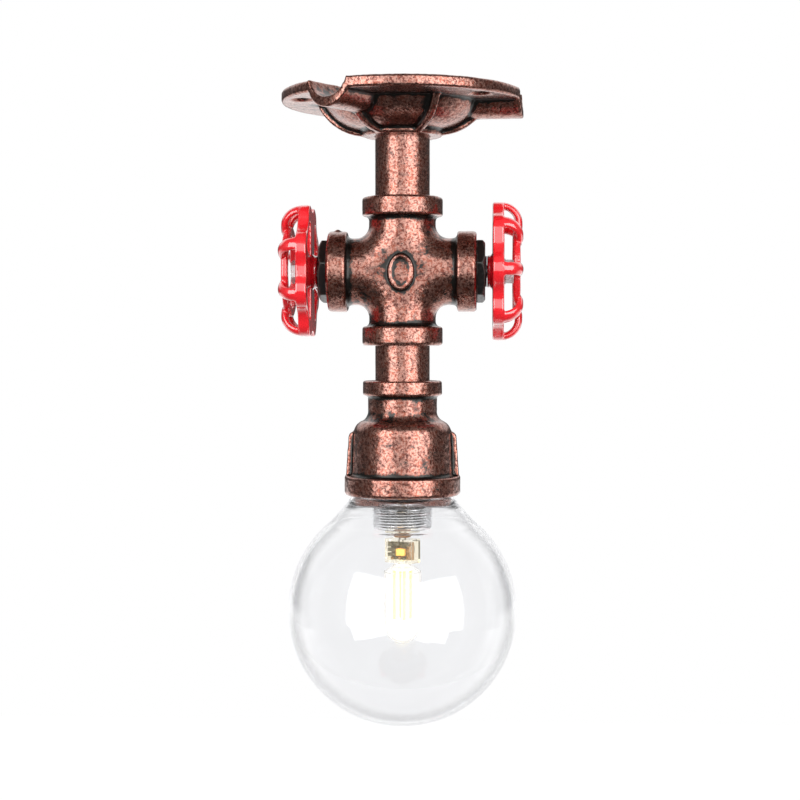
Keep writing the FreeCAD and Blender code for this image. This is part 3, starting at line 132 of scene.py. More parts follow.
def noise(tree, place, size, detail=2.0, rough=0.5, warp=0.0):
    """Noise whose features are about size metres across, from 0 to 1."""
    made = put(tree, "ShaderNodeTexNoise", {
        "Vector": place, "Scale": 1 / size, "Detail": detail, "Roughness": rough, "Distortion": warp})
    return made.outputs["Fac"]


def calc(tree, operation, first, second=0.0, third=0.0):
    """A Math node's result."""
    made = put(tree, "ShaderNodeMath", {0: first, 1: second, 2: third}, operation=operation)
    return made.outputs["Value"]


def spread(tree, value, low, high, to_low=0.0, to_high=1.0):
    """Maps low to high onto to_low to to_high, smoothly and held at both ends."""
    made = put(tree, "ShaderNodeMapRange", {
        "Value": value, "From Min": low, "From Max": high, "To Min": to_low, "To Max": to_high},
        interpolation_type="SMOOTHSTEP")
    return made.outputs["Result"]


def uneven(tree, pattern, low, high):
    """A level that a noise pattern moves between low and high."""
    return spread(tree, pattern, 0.3, 0.7, low, high)


def blend(tree, share, first, second):
    """Mixes two colours."""
    made = put(tree, "ShaderNodeMix", {"Factor": share, "A": first, "B": second}, data_type="RGBA")
    return made.outputs["Result"]


def bump(tree, height, depth, strength=1.0, under=None):
    """Bump of depth metres."""
    inputs = {"Height": height, "Distance": depth, "Strength": strength}
    if under is not None:
        inputs["Normal"] = under
    return put(tree, "ShaderNodeBump", inputs).outputs["Normal"]


def read(tree, name):
    """A value stored on the mesh's points."""
    return put(tree, "ShaderNodeAttribute", {}, attribute_name=name).outputs["Fac"]


# Materials

COPPER_FLECK = (0.37, 0.185, 0.145)
COPPER_MID = (0.21, 0.045, 0.021)
COPPER_DEEP = (0.075, 0.013, 0.007)
# near-black coat colours, used for the real patina and also for the painted shade beside the cross's
# boss
PATINA_AND_SHADE = (0.006, 0.0055, 0.005)
PATINA_AND_SHADE_GREEN = (0.020, 0.018, 0.015)
# sizes of the copper paint's patterns
CLOUD_SIZE = 7.5 * MM
BLOTCH_SIZE = 2.6 * MM
GRAIN_SIZE = 0.95 * MM
PIT_SIZE = 0.8 * MM
# how much each pattern, and each value stored on the mesh, adds to the dark coat's cover; the value
# stored beside the cross's boss adds painted shade
CLOUD_COVER = 2.1
BLOTCH_COVER = 1.3
GRAIN_COVER = 1.6
STORED_COVER_AND_SHADE = (("hollow", 1.0), ("cove", 0.55), ("boss_shade", 0.42))
# from where the dark coat starts to where it hides the copper
COVER_STARTS = 2.62
COVER_FULL = 3.05
PIT_DARKNESS = 0.85
# between which noise levels pits open, the copper goes from middle to deep, and flecks shine
PIT_EDGE = (0.58, 0.67)
DEEP_EDGE = (0.38, 0.60)
FLECK_EDGE = (0.40, 0.60)
COPPER_ROUGHNESS = 0.26
PATINA_ROUGHER = 0.14
# clear lacquer over the copper paint
LACQUER = {"Coat Weight": 0.35, "Coat IOR": 1.6, "Coat Roughness": 0.24}


def copper_paint():
    """Copper paint rubbed over a near-black greenish coat: dark in hollows and in soft clouds, with
    painted shade beside the cross's boss.
    """
    material, tree, shader = new_material("copper_paint")
    place = own_place(tree)
    cloud = noise(tree, place, CLOUD_SIZE, 3, 0.6, 0.5)
    blotch = noise(tree, place, BLOTCH_SIZE, 3, 0.6, 0.5)
    grain = noise(tree, place, GRAIN_SIZE, 3, 0.75)
    cover_and_shade = calc(tree, "MULTIPLY", blotch, BLOTCH_COVER)
    cover_and_shade = calc(tree, "MULTIPLY_ADD", cloud, CLOUD_COVER, cover_and_shade)
    cover_and_shade = calc(tree, "MULTIPLY_ADD", grain, GRAIN_COVER, cover_and_shade)
    for name, weight in STORED_COVER_AND_SHADE:
        cover_and_shade = calc(tree, "MULTIPLY_ADD", read(tree, name), weight, cover_and_shade)
    speck = noise(tree, place, PIT_SIZE, 3, 0.7, 0.4)
    pits = spread(tree, speck, *PIT_EDGE, 0.0, PIT_DARKNESS)
    # the dark mask holds the patina and pits, and the painted shade beside the cross's boss
    patina_and_shade = calc(tree, "MAXIMUM", pits, spread(tree, cover_and_shade, COVER_STARTS, COVER_FULL))
    depth = spread(tree, blotch, *DEEP_EDGE)
    fleck = spread(tree, grain, *FLECK_EDGE)
    metal = blend(tree, fleck, blend(tree, depth, COPPER_MID, COPPER_DEEP), COPPER_FLECK)
    dark = blend(tree, grain, PATINA_AND_SHADE, PATINA_AND_SHADE_GREEN)
    rough = calc(tree, "MULTIPLY_ADD", patina_and_shade, PATINA_ROUGHER, COPPER_ROUGHNESS)
    coarse = bump(tree, noise(tree, place, 2.4 * MM, 1), 0.10 * MM)
    fine = bump(tree, noise(tree, place, 0.9 * MM, 1), 0.035 * MM, 1.0, coarse)
    feed_all(tree, shader, {
        "Base Color": blend(tree, patina_and_shade, metal, dark), "Metallic": 0.93, "IOR": 1.5,
        "Roughness": rough, "Normal": fine, "Coat Normal": fine, **LACQUER})
    return material


ENAMEL_DARK = (0.60, 0.004, 0.010)
ENAMEL_LIGHT = (0.78, 0.012, 0.020)


def red_enamel():
    """Thick glossy red enamel with a little orange peel."""
    material, tree, shader = new_material("red_enamel")
    place = own_place(tree)
    peel = bump(tree, noise(tree, place, 1.8 * MM, 2), 0.04 * MM, 0.6)
    feed_all(tree, shader, {
        "Base Color": blend(tree, noise(tree, place, 6 * MM, 2), ENAMEL_DARK, ENAMEL_LIGHT),
        "Roughness": uneven(tree, noise(tree, place, 2 * MM), 0.22, 0.32),
        "Coat Weight": 1.0, "Coat IOR": 1.75, "Coat Roughness": 0.05,
        "Normal": peel, "Coat Normal": peel})
    return material


BLACK = (0.006, 0.007, 0.0065)
RUBBED_GREY = (0.05, 0.057, 0.052)


def black_paint():
    """Satin black paint on a casting, rubbed grey along its high places."""
    material, tree, shader = new_material("black_paint")
    place = own_place(tree)
    scuff = noise(tree, place, 1.2 * MM, 3, 0.7)
    wear = calc(tree, "MULTIPLY_ADD", read(tree, "hollow"), -1.2, scuff)
    rub = spread(tree, wear, 0.75, 1.1)
    feed_all(tree, shader, {
        "Base Color": blend(tree, rub, BLACK, RUBBED_GREY),
        "Roughness": uneven(tree, noise(tree, place, 0.8 * MM), 0.30, 0.46),
        "Normal": bump(tree, noise(tree, place, 0.6 * MM, 3), 0.04 * MM, 0.8)})
    return material


def zinc_steel():
    """Zinc plate, a little dull and scratched."""
    material, tree, shader = new_material("zinc_steel")
    place = own_place(tree)
    stain = noise(tree, place, 3 * MM, 3)
    feed_all(tree, shader, {
        "Base Color": blend(tree, stain, (0.42, 0.42, 0.43), (0.66, 0.66, 0.65)), "Metallic": 1.0,
        "Roughness": uneven(tree, noise(tree, place, 0.7 * MM, 3), 0.26, 0.44),
        "Normal": bump(tree, noise(tree, place, 0.35 * MM, 2), 0.015 * MM, 0.6)})
    return material


def nickel():
    """Dark nickel with slight tarnish."""
    material, tree, shader = new_material("nickel")
    place = own_place(tree)
    stain = noise(tree, place, 2.5 * MM, 3)
    feed_all(tree, shader, {
        "Base Color": blend(tree, stain, (0.085, 0.080, 0.070), (0.17, 0.165, 0.155)), "Metallic": 1.0,
        "Roughness": uneven(tree, stain, 0.20, 0.32),
        "Normal": bump(tree, noise(tree, place, 0.5 * MM), 0.01 * MM, 0.5)})
    return material


def brass_contact():
    """Stained brass of the holder's contacts."""
    material, tree, shader = new_material("brass_contact")
    stain = noise(tree, own_place(tree), 1.5 * MM, 3)
    feed_all(tree, shader, {
        "Base Color": blend(tree, stain, (0.50, 0.34, 0.12), (0.80, 0.60, 0.26)), "Metallic": 1.0,
        "Roughness": uneven(tree, stain, 0.25, 0.4)})
    return material


SPECKLED_ROUGHER = 0.15


def speckled(name, dark, light, size, rough, depth, coat=0.0):
    """A plain non-metal whose colour, gloss and surface vary a little."""
    material, tree, shader = new_material(name)
    place = own_place(tree)
    mottle = noise(tree, place, size, 3, 0.6)
    feed_all(tree, shader, {
        "Base Color": blend(tree, mottle, dark, light),
        "Roughness": uneven(tree, mottle, rough, rough + SPECKLED_ROUGHER), "Coat Weight": coat,
        "Normal": bump(tree, noise(tree, place, size / 3, 2), depth, 0.7)})
    return material


CLEAR_DARKER = 0.985
CLEAR_ROUGHEST = 0.012
# slants of the surface between which its rim grows plainer, from 0 face on to 1 at the outline
RIM_STARTS = 0.55
RIM_FULL = 0.9


def see_through(name, tint, ior, ripple, rim=0.0, glow=None, glow_strength=0.0):
    """Clear glass or plastic that lets lamps through; a rim share thins the gloss at its outline."""
    material, tree, shader = new_material(name)
    place = own_place(tree)
    mottle = noise(tree, place, 14 * MM, 1)
    tone = tuple(channel * CLEAR_DARKER for channel in tint)
    feed_all(tree, shader, {
        "Base Color": blend(tree, mottle, tone, tint), "Transmission Weight": 1.0, "IOR": ior,
        "Roughness": uneven(tree, mottle, 0.0, CLEAR_ROUGHEST),
        "Normal": bump(tree, noise(tree, place, 9 * MM, 1), ripple, 0.5)})
    if glow is not None:
        feed_all(tree, shader, {"Emission Color": glow, "Emission Strength": glow_strength})
    clear = put(tree, "ShaderNodeBsdfTransparent", {"Color": tone})
    slant = put(tree, "ShaderNodeLayerWeight", {"Blend": 0.5}).outputs["Facing"]
    outline = spread(tree, slant, RIM_STARTS, RIM_FULL, 0.0, rim)
    rays = put(tree, "ShaderNodeLightPath", {})
    share = calc(tree, "MAXIMUM", rays.outputs["Is Shadow Ray"], outline)
    both = put(tree, "ShaderNodeMixShader", {0: share})
    tree.links.new(shader.outputs["BSDF"], both.inputs[1])
    tree.links.new(clear.outputs["BSDF"], both.inputs[2])
    out = next(n for n in tree.nodes if n.type == "OUTPUT_MATERIAL")
    tree.links.new(both.outputs["Shader"], out.inputs["Surface"])
    return material


def glowing(name, dark, light, low, high):
    """A lit solid whose colour and glow, from low to high, vary a little."""
    material, tree, shader = new_material(name)
    grain = noise(tree, own_place(tree), 0.5 * MM, 2)
    colour = blend(tree, grain, dark, light)
    feed_all(tree, shader, {
        "Base Color": colour, "Roughness": 0.6, "Emission Color": colour,
        "Emission Strength": spread(tree, grain, 0.2, 0.8, low, high)})
    return material


# name: dark and light colour, size of the speckles, roughness, depth of the relief, coat
SPECKLED = {
    "ceramic": ((0.17, 0.085, 0.045), (0.30, 0.17, 0.09), 1.2 * MM, 0.22, 0.02 * MM, 0.6),
    "nylon": ((0.016, 0.016, 0.017), (0.034, 0.034, 0.035), 2 * MM, 0.42, 0.02 * MM),
    "circuit_board": ((0.10, 0.045, 0.015), (0.34, 0.18, 0.06), 1.1 * MM, 0.3, 0.03 * MM, 0.3),
    "brown_lead": ((0.10, 0.045, 0.02), (0.16, 0.07, 0.03), 3 * MM, 0.4, 0.02 * MM),
    "blue_lead": ((0.02, 0.07, 0.26), (0.03, 0.11, 0.36), 3 * MM, 0.4, 0.02 * MM),
    "gasket_rubber": ((0.012, 0.012, 0.012), (0.03, 0.03, 0.03), 1 * MM, 0.6, 0.03 * MM),
    "chip_epoxy": ((0.020, 0.018, 0.012), (0.10, 0.085, 0.05), 0.9 * MM, 0.3, 0.02 * MM, 0.4),
}
# name: tint, IOR, depth of the ripples, rim share, colour and strength of the lamp's glow in it
SEE_THROUGH = {
    "clear_plastic": ((0.99, 0.955, 0.86), 1.32, 0.02 * MM, 0.4, (1.0, 0.80, 0.36), 0.03),
    "capsule_glass": ((0.995, 0.99, 0.98), 1.2, 0.01 * MM, 0.6, (1.0, 0.95, 0.80), 0.07),
    "clear_glass": ((0.958, 0.960, 0.968), 1.46, 0.02 * MM, 0.85),
}
# name: dark and light colour, lowest and highest glow
GLOWING = {
    "amber_resin": ((0.90, 0.42, 0.06), (1.0, 0.62, 0.18), 0.35, 0.75),
    "filament": ((1.0, 0.74, 0.12), (1.0, 0.82, 0.20), 0.55, 0.70),
    "lit_stem": ((0.95, 0.82, 0.45), (1.0, 0.90, 0.55), 0.65, 0.80),
}


def make_materials():
    """Every material by its name."""
    single = (copper_paint, red_enamel, black_paint, zinc_steel, nickel, brass_contact)
    made = {make.__name__: make() for make in single}
    for make, table in ((speckled, SPECKLED), (see_through, SEE_THROUGH), (glowing, GLOWING)):
        made.update({name: make(name, *row) for name, row in table.items()})
    return made


MATERIALS = make_materials()

# nodes whose light or place gives them a closer material than their slot's
FINISH_OF = {"lamp_stem": "lit_stem"}

for row in frame["record"]["subparts"]:
    for slot in frame["nodes"][row["node"]].material_slots:
        slot.material = MATERIALS[FINISH_OF.get(row["node"], row["material_slot"])]


# Mesh helpers

def new_piece(name, mesh, slot, body, *replaced, finish=None):
    """Makes an object of a finished mesh, with its body and its slot's material or a closer one."""
    piece = bpy.data.objects.new(name, mesh)
    bpy.context.scene.collection.objects.link(piece)
    mesh.materials.clear()
    mesh.materials.append(MATERIALS[finish or slot])
    mesh.shade_smooth()
    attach(piece, body)
    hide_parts(*replaced)


# large odd numbers that scatter the cells of lattice_noise
CELL_FACTORS = (73856093, 19349663, 83492791)
SEED_FACTOR = 15485863
SCATTER_FACTOR = 1274126177
LOW_32_BITS = 0xFFFFFFFF
LOW_16_BITS = 0xFFFF


def lattice_noise(points, cell, seed):
    """Smooth scattered numbers from -1 to 1 at points, whose features are about cell metres."""
    scaled = points / cell
    base = np.floor(scaled).astype(np.int64)
    part = scaled - base
    part = part * part * (3 - 2 * part)
    total = np.zeros(len(points))
    for corner in itertools.product((0, 1), repeat=3):
        x, y, z = ((base + np.array(corner)) * CELL_FACTORS).T
        mixed = x ^ y ^ z ^ seed * SEED_FACTOR
        mixed = (mixed ^ mixed >> 13) * SCATTER_FACTOR & LOW_32_BITS
        mixed ^= mixed >> 16
        value = (mixed & LOW_16_BITS) / (LOW_16_BITS / 2) - 1
        total += np.prod(np.where(corner, part, 1 - part), axis=1) * value
    return total


def relax(points, edges, rounds, share=0.5, back=0.0):
    """Moves points towards their neighbours; a back step keeps the volume."""
    count = np.bincount(edges.ravel(), minlength=len(points))
    for step in [share, back] * rounds if back else [share] * rounds:
        near = np.empty_like(points)
        for axis in range(3):
            values = points[:, axis]
            near[:, axis] = np.bincount(edges[:, 0], values[edges[:, 1]], len(points))
            near[:, axis] += np.bincount(edges[:, 1], values[edges[:, 0]], len(points))
        points = points + step * (near / count[:, None] - points)
    return points


# points closer than this become one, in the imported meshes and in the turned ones
WELD = 1e-6
WELD_TURNED = 1e-7


def finished(piece):
    """The mesh that an object's modifiers make."""
    seen = piece.evaluated_get(bpy.context.evaluated_depsgraph_get())
    return bpy.data.meshes.new_from_object(seen)


def regrid(source, voxel):
    """A closed mesh of even small faces round the source."""
    whole = bmesh.new()
    whole.from_mesh(source)
    bmesh.ops.remove_doubles(whole, verts=whole.verts, dist=WELD)
    mesh = bpy.data.meshes.new("whole")
    whole.to_mesh(mesh)
    whole.free()
    piece = bpy.data.objects.new("whole", mesh)
    bpy.context.scene.collection.objects.link(piece)
    grid = piece.modifiers.new("grid", "REMESH")
    grid.mode = "VOXEL"
    grid.voxel_size = voxel
    made = finished(piece)
    bpy.data.objects.remove(piece)
    return made


def mesh_points(mesh):
    """The mesh's points, and its edges as pairs of points."""
    points = np.empty(len(mesh.vertices) * 3)
    mesh.vertices.foreach_get("co", points)
    edges = np.empty(len(mesh.edges) * 2, np.int64)
    mesh.edges.foreach_get("vertices", edges)
    return points.reshape(-1, 3), edges.reshape(-1, 2)


def set_points(mesh, points):
    """Moves the mesh's points."""
    mesh.vertices.foreach_set("co", points.ravel())
    mesh.update()


def mesh_normals(mesh):
    """The way each point faces."""
    normals = np.empty(len(mesh.vertices) * 3)
    mesh.vertex_normals.foreach_get("vector", normals)
    return normals.reshape(-1, 3)


# rounds of relaxing that take off the grid's steps
FINAL_ROUNDS = 2
# rounds that fill a groove or a cove, and how deep one has to be to count in full
GROOVE_ROUNDS = 7
GROOVE_FULL = 0.10 * MM
COVE_ROUNDS = 70
COVE_FULL = 0.50 * MM


def store(mesh, name, values):
    """Keeps a value for each point, which the materials read."""
    stored = mesh.attributes.new(name, "FLOAT", "POINT")
    stored.data.foreach_set("value", np.clip(values, -1, 1).astype(np.float32))


def cast(mesh, soften, ripples, seed):
    """Rounds a regridded mesh as a casting, roughens it and stores how hollow each point lies."""
    points, edges = mesh_points(mesh)
    points = relax(points, edges, soften, share=0.5, back=-0.5)
    points = relax(points, edges, FINAL_ROUNDS)
    set_points(mesh, points)
    normals = mesh_normals(mesh)
    filled = relax(points, edges, GROOVE_ROUNDS)
    store(mesh, "hollow", ((filled - points) * normals).sum(1) / GROOVE_FULL)
    filled = relax(filled, edges, COVE_ROUNDS)
    store(mesh, "cove", ((filled - points) * normals).sum(1) / COVE_FULL)
    rough = np.zeros(len(points))
    for i, (cell, tall) in enumerate(ripples):
        rough += tall * lattice_noise(points, cell, seed + i)
    set_points(mesh, points + normals * rough[:, None])


# Castings

# cell size and height of each layer of ripples
CAST_RIPPLES = ((3.4 * MM, 0.05 * MM), (1.5 * MM, 0.045 * MM), (0.8 * MM, 0.02 * MM))
PIPE_RIPPLES = ((4.0 * MM, 0.02 * MM), (1.2 * MM, 0.015 * MM))
ENAMEL_RIPPLES = ((4.0 * MM, 0.05 * MM), (2.0 * MM, 0.02 * MM))

# node, side of the grid's cells, rounds of softening, ripples, body
CASTINGS = (
    ("ceiling_flange", 0.50 * MM, 5, CAST_RIPPLES, "root"),
    ("cross_fitting", 0.45 * MM, 5, CAST_RIPPLES, "root"),
    ("reducing_socket", 0.39 * MM, 5, CAST_RIPPLES, "root"),
    ("upper_nipple", 0.34 * MM, 3, PIPE_RIPPLES, "root"),
    ("lower_nipple", 0.34 * MM, 3, PIPE_RIPPLES, "root"),
    ("left_plug", 0.26 * MM, 4, PIPE_RIPPLES, "root"),
    ("right_plug", 0.26 * MM, 4, PIPE_RIPPLES, "root"),
    ("left_handwheel", 0.33 * MM, 8, ENAMEL_RIPPLES, "left_wheel"),
    ("right_handwheel", 0.33 * MM, 8, ENAMEL_RIPPLES, "right_wheel"),
)
SLOT_OF = {row["node"]: row["material_slot"] for row in frame["record"]["subparts"]}

# centre of each patch of painted shade, beside the axis and from the ceiling, and its reach across and
# up
BOSS_SHADE_SIDE = 8.2 * MM
BOSS_SHADE_HEIGHT = -67.2 * MM
BOSS_SHADE_WIDE = 3.6 * MM
BOSS_SHADE_TALL = 4.6 * MM
# how far apart the seeds of two castings' ripples are
SEED_STEP = 10


def painted_boss_shade(points):
    """Painted shade on both sides of the cross's oval boss, on its front only, where the surface turns
    away from the lights.
    """
    across = (np.abs(points[:, 0]) - BOSS_SHADE_SIDE) / BOSS_SHADE_WIDE
    up = (points[:, 2] - BOSS_SHADE_HEIGHT) / BOSS_SHADE_TALL
    return np.exp(-across ** 2 - up ** 2) * (points[:, 1] < 0)


def make_castings():
    """Castings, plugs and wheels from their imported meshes, with softened edges and rough skins."""
    for number, (node, voxel, soften, ripples, body) in enumerate(CASTINGS, start=1):
        mesh = regrid(frame["nodes"][node].data, voxel)
        cast(mesh, soften, ripples, number * SEED_STEP)
        # the cross also stores painted shade beside its boss, which the copper paint reads as dark
        # coat
        if node == "cross_fitting":
            store(mesh, "boss_shade", painted_boss_shade(mesh_points(mesh)[0]))
        mesh.name = node + "_cast"
        new_piece(node + "_cast", mesh, SLOT_OF[node], body, node)


make_castings()


# Globe and holder

GLOBE_TOP = -157.1 * MM
# the globe's other heights are from its top
GLOBE_CENTRE = -45.2 * MM
GLOBE_RADIUS = 45.0 * MM
GLOBE_WALL = 1.6 * MM
# the inside is this much smaller and lower than the wall asks, so the glass thickens upwards
GLOBE_GROWTH = 0.35 * MM
GLOBE_JOIN = 28.0 * MM
GLOBE_JOIN_WALL = 0.99 * MM
GLASS_PITCH = 1.41 * MM
SLEEVE_TOP = -156.2 * MM
SLEEVE_END = -170.9 * MM
SLEEVE_PITCH = 1.57 * MM
TURNED_SIDES = 128
CORE_SIDES = 96
THREAD_STEPS = 10


def profile(points, level=0.0):
    """Rings from (radius, height) in mm, the heights from a level in metres."""
    return [(radius * MM, level + height * MM) for radius, height in points]


def turned_mesh(name, rings, sides=TURNED_SIDES):
    """A closed mesh turned from rings; each is a (radius, height), or gives one for an angle."""
    count = len(rings)
    points = []
    for side in range(sides):
        angle = 2 * math.pi * side / sides
        for radius, height in (ring(angle) if callable(ring) else ring for ring in rings):
            points.append((radius * math.cos(angle), radius * math.sin(angle), height))
    faces = []
    for side in range(sides):
        here, there = side * count, (side + 1) % sides * count
        for i in range(count):
            after = (i + 1) % count
            faces.append((here + i, there + i, there + after, here + after))
    work = bmesh.new()
    mesh = bpy.data.meshes.new(name)
    mesh.from_pydata(points, [], faces)
    work.from_mesh(mesh)
    bmesh.ops.remove_doubles(work, verts=work.verts, dist=WELD_TURNED)
    bmesh.ops.dissolve_degenerate(work, edges=work.edges, dist=WELD_TURNED)
    bmesh.ops.recalc_face_normals(work, faces=work.faces)
    work.to_mesh(mesh)
    work.free()
    return mesh


def arc(centre, radius, start, end, steps):
    """Points (radius, height) along an arc, its angles in degrees from +radius towards +height."""
    made = []
    for i in range(steps + 1):
        angle = math.radians(start + (end - start) * i / steps)
        made.append((centre[0] + radius * math.cos(angle), centre[1] + radius * math.sin(angle)))
    return made


def thread(top, bottom, middle, depth, pitch):
    """Rings down a screw thread that runs out at both ends."""
    count = int(abs(top - bottom) / pitch * THREAD_STEPS)
    rings = []
    for i in range(count + 1):
        level = top + (bottom - top) * i / count
        tall = depth * min(1, i / THREAD_STEPS, (count - i) / THREAD_STEPS)

        def ring(angle, level=level, tall=tall):
            return middle + tall * math.sin(2 * math.pi * level / pitch - angle), level

        rings.append(ring)
    return rings


def make_globe():
    """Thin glass globe with a small shoulder and, inside, a moulded screw collar."""
    inner = GLOBE_RADIUS - GLOBE_WALL
    join = math.degrees(math.acos(GLOBE_JOIN / GLOBE_RADIUS))
    inner_join = math.degrees(math.acos((GLOBE_JOIN - GLOBE_JOIN_WALL) / inner))
    inner_centre = (0, GLOBE_CENTRE - GLOBE_GROWTH)
    rings = profile(((9.55, 0), (14.0, 0)))
    rings += arc((18.0 * MM, -3.6 * MM), 3.6 * MM, 90, 16, 10)
    rings += profile(((23.2, -4.7), (25.4, -7.1)))
    rings += arc((0, GLOBE_CENTRE), GLOBE_RADIUS, join, -90, 64)
    rings += arc(inner_centre, inner - GLOBE_GROWTH, -90, inner_join, 64)
    rings += profile(((24.4, -8.1), (22.2, -5.8), (20.0, -3.56), (18.6, -2.1)))
    rings += profile(((17.2, -1.6), (12.9, -1.6), (12.0, -1.9)))
    rings += thread(-2.3 * MM, -14.2 * MM, 11.60 * MM, 0.25 * MM, GLASS_PITCH)
    rings += arc((11.0 * MM, -14.3 * MM), 0.6 * MM, 0, -90, 5)
    rings += profile(((9.95, -14.9),))
    rings += thread(-14.4 * MM, -0.4 * MM, 9.78 * MM, 0.16 * MM, GLASS_PITCH)
    mesh = turned_mesh("globe_glass", rings)
    mesh.transform(Matrix.Translation((0, 0, GLOBE_TOP)))
    new_piece("globe_glass", mesh, "clear_glass", "globe", "globe")


def make_sleeve():
    """Threaded holder sleeve with a plain lip."""
    rings = profile(((7.7, -1.5), (5.2, -1.5), (5.2, 0)), SLEEVE_TOP)
    rings += arc((8.5 * MM, SLEEVE_TOP - 0.4 * MM), 0.4 * MM, 90, 0, 4)
    rings += thread(SLEEVE_TOP - 0.8 * MM, SLEEVE_END + 0.8 * MM, 8.88 * MM, 0.30 * MM, SLEEVE_PITCH)
    rings += profile(((8.7, 0.5), (9.1, 0.4), (9.15, 0.1), (8.9, 0), (7.9, 0), (7.7, 0.2)), SLEEVE_END)
    mesh = turned_mesh("holder_sleeve_thread", rings)
    new_piece("holder_sleeve_thread", mesh, "nickel", "root", "holder_sleeve")


LAMP_TURN = math.radians(-30)
PIN_HOLE = 0.95 * MM
PIN_SPACING = 4.0 * MM
HOLE_LEVELS = (-174.5 * MM, -165.0 * MM)
HOLE_SIDES = 24
CORE_CREASE = math.radians(40)


def pin_drills():
    """A mesh of what the two pin holes take away."""
    work = bmesh.new()
    turn = Matrix.Rotation(LAMP_TURN, 4, "Z")
    for side in (1, -1):
        at = turn @ Vector((0, side * PIN_SPACING / 2, sum(HOLE_LEVELS) / 2))
        bmesh.ops.create_cone(
            work, segments=HOLE_SIDES, radius1=PIN_HOLE, radius2=PIN_HOLE, cap_ends=True,
            depth=HOLE_LEVELS[1] - HOLE_LEVELS[0], matrix=Matrix.Translation(at))
    mesh = bpy.data.meshes.new("pin_drills")
    work.to_mesh(mesh)
    work.free()
    return mesh


def make_core():
    """Brown ceramic core of the holder, its rounded nose pierced for the lamp's pins."""
    rings = profile(((0, -161.4), (7.6, -161.4), (7.6, -169.4)))
    rings += arc((6.7 * MM, -169.4 * MM), 0.9 * MM, 0, -90, 5)
    rings += profile(((4.0, -170.3), (3.65, -170.6), (3.60, -172.5)))
    rings += arc((2.6 * MM, -172.6 * MM), 0.95 * MM, 0, -90, 6)
    rings += profile(((0, -173.55),))
    core = bpy.data.objects.new("core_turned", turned_mesh("core_turned", rings, CORE_SIDES))
    drill = bpy.data.objects.new("pin_drills", pin_drills())
    for thing in (core, drill):
        bpy.context.scene.collection.objects.link(thing)
    cut = core.modifiers.new("pin_holes", "BOOLEAN")
    cut.object = drill
    cut.operation = "DIFFERENCE"
    cut.solver = "EXACT"
    mesh = finished(core)
    bpy.data.objects.remove(core)
    bpy.data.objects.remove(drill)
    mesh.name = "holder_core_nose"
    new_piece("holder_core_nose", mesh, "ceramic", "root", "holder_core")
    mesh.set_sharp_from_angle(angle=CORE_CREASE)


make_globe()
make_sleeve()
make_core()


# Lamp driver behind the clear base

BASE_TOP = -174.1 * MM
DRIVER_BEVEL = 0.14 * MM
# finish, centre x, y and depth below the base's top, then width, thickness and height, all mm
DRIVER = (
    ("circuit_board", 0, 0, 4.6, 9.6, 0.8, 7.0),
    ("chip_epoxy", -4.1, -1.4, 2.1, 2.4, 2.0, 1.9),
    ("chip_epoxy", -1.3, -1.5, 1.9, 2.6, 2.2, 1.6),
    ("chip_epoxy", 1.2, -1.3, 2.2, 1.9, 1.8, 2.0),
    ("chip_epoxy", 3.3, -1.5, 1.9, 1.7, 2.2, 1.5),
    ("chip_epoxy", -3.5, -1.7, 4.2, 3.3, 1.9, 1.3),
    ("chip_epoxy", -3.5, -1.7, 6.1, 3.3, 1.9, 1.3),
    ("amber_resin", 0.3, -1.5, 5.1, 3.4, 2.1, 2.7),
    ("circuit_board", -3.6, -1.2, 7.6, 1.3, 1.5, 0.9),
    ("chip_epoxy", -1.9, -1.2, 7.6, 1.3, 1.5, 0.9),
    ("circuit_board", -0.2, -1.2, 7.6, 1.3, 1.5, 0.9),
    ("chip_epoxy", 1.5, -1.2, 7.6, 1.3, 1.5, 0.9),
    ("circuit_board", 3.4, -0.9, 4.4, 1.3, 0.9, 1.4),
    ("circuit_board", 3.5, -0.9, 6.6, 1.3, 0.9, 1.2),
    ("chip_epoxy", 2.6, 1.3, 4.0, 2.6, 1.8, 3.0),
    ("amber_resin", -2.4, 1.1, 5.2, 2.2, 1.4, 2.2),
    ("nickel", -4.3, -0.8, 3.2, 0.5, 1.0, 0.5),
    ("nickel", -1.4, -0.8, 3.2, 0.5, 1.0, 0.5),
    ("nickel", 2.2, -0.8, 3.4, 0.5, 1.0, 0.5),
    ("nickel", 2.4, -0.8, 6.9, 0.5, 1.0, 0.5),
)


def make_driver():
    """The board and its parts, one piece for each finish."""
    for finish in dict.fromkeys(row[0] for row in DRIVER):
        work = bmesh.new()
        for x, y, drop, wide, thick, tall in (row[1:] for row in DRIVER if row[0] == finish):
            sizes = Matrix.Diagonal((wide * MM, thick * MM, tall * MM, 1))
            at = Matrix.Translation((x * MM, y * MM, -drop * MM))
            bmesh.ops.create_cube(work, size=1.0, matrix=at @ sizes)
        bmesh.ops.bevel(work, geom=list(work.edges), offset=DRIVER_BEVEL, segments=2, affect="EDGES")
        mesh = bpy.data.meshes.new("driver_" + finish)
        work.to_mesh(mesh)
        work.free()
        mesh.transform(Matrix.Translation((0, 0, BASE_TOP)) @ Matrix.Rotation(LAMP_TURN, 4, "Z"))
        new_piece("driver_" + finish, mesh, "circuit_board", "lamp", "lamp_circuit", finish=finish)


make_driver()


# Floor, light and air

FLOOR_LEVEL = -0.95
FLOOR_HALF = 3.0
FLOOR_GREY = (0.02, 0.02, 0.02)
# levels of the floor and the air that the fitting mirrors, before the light and behind it
FLOOR_LEVELS = (0.06, 1.5)
AIR_LEVELS = (0.20, 0.09)
# more of the air behind, above and below the light's height
HIGH_BEHIND = 1.2
LOW_BEHIND = 1.5
# level that the camera sees, and the share of it that shows inside glass
PLAIN = 1.0
INSIDE_GLASS = 0.6
LIGHT_DISTANCE = 1.6
LIGHT_AIM = Vector((0, 0, -0.17))
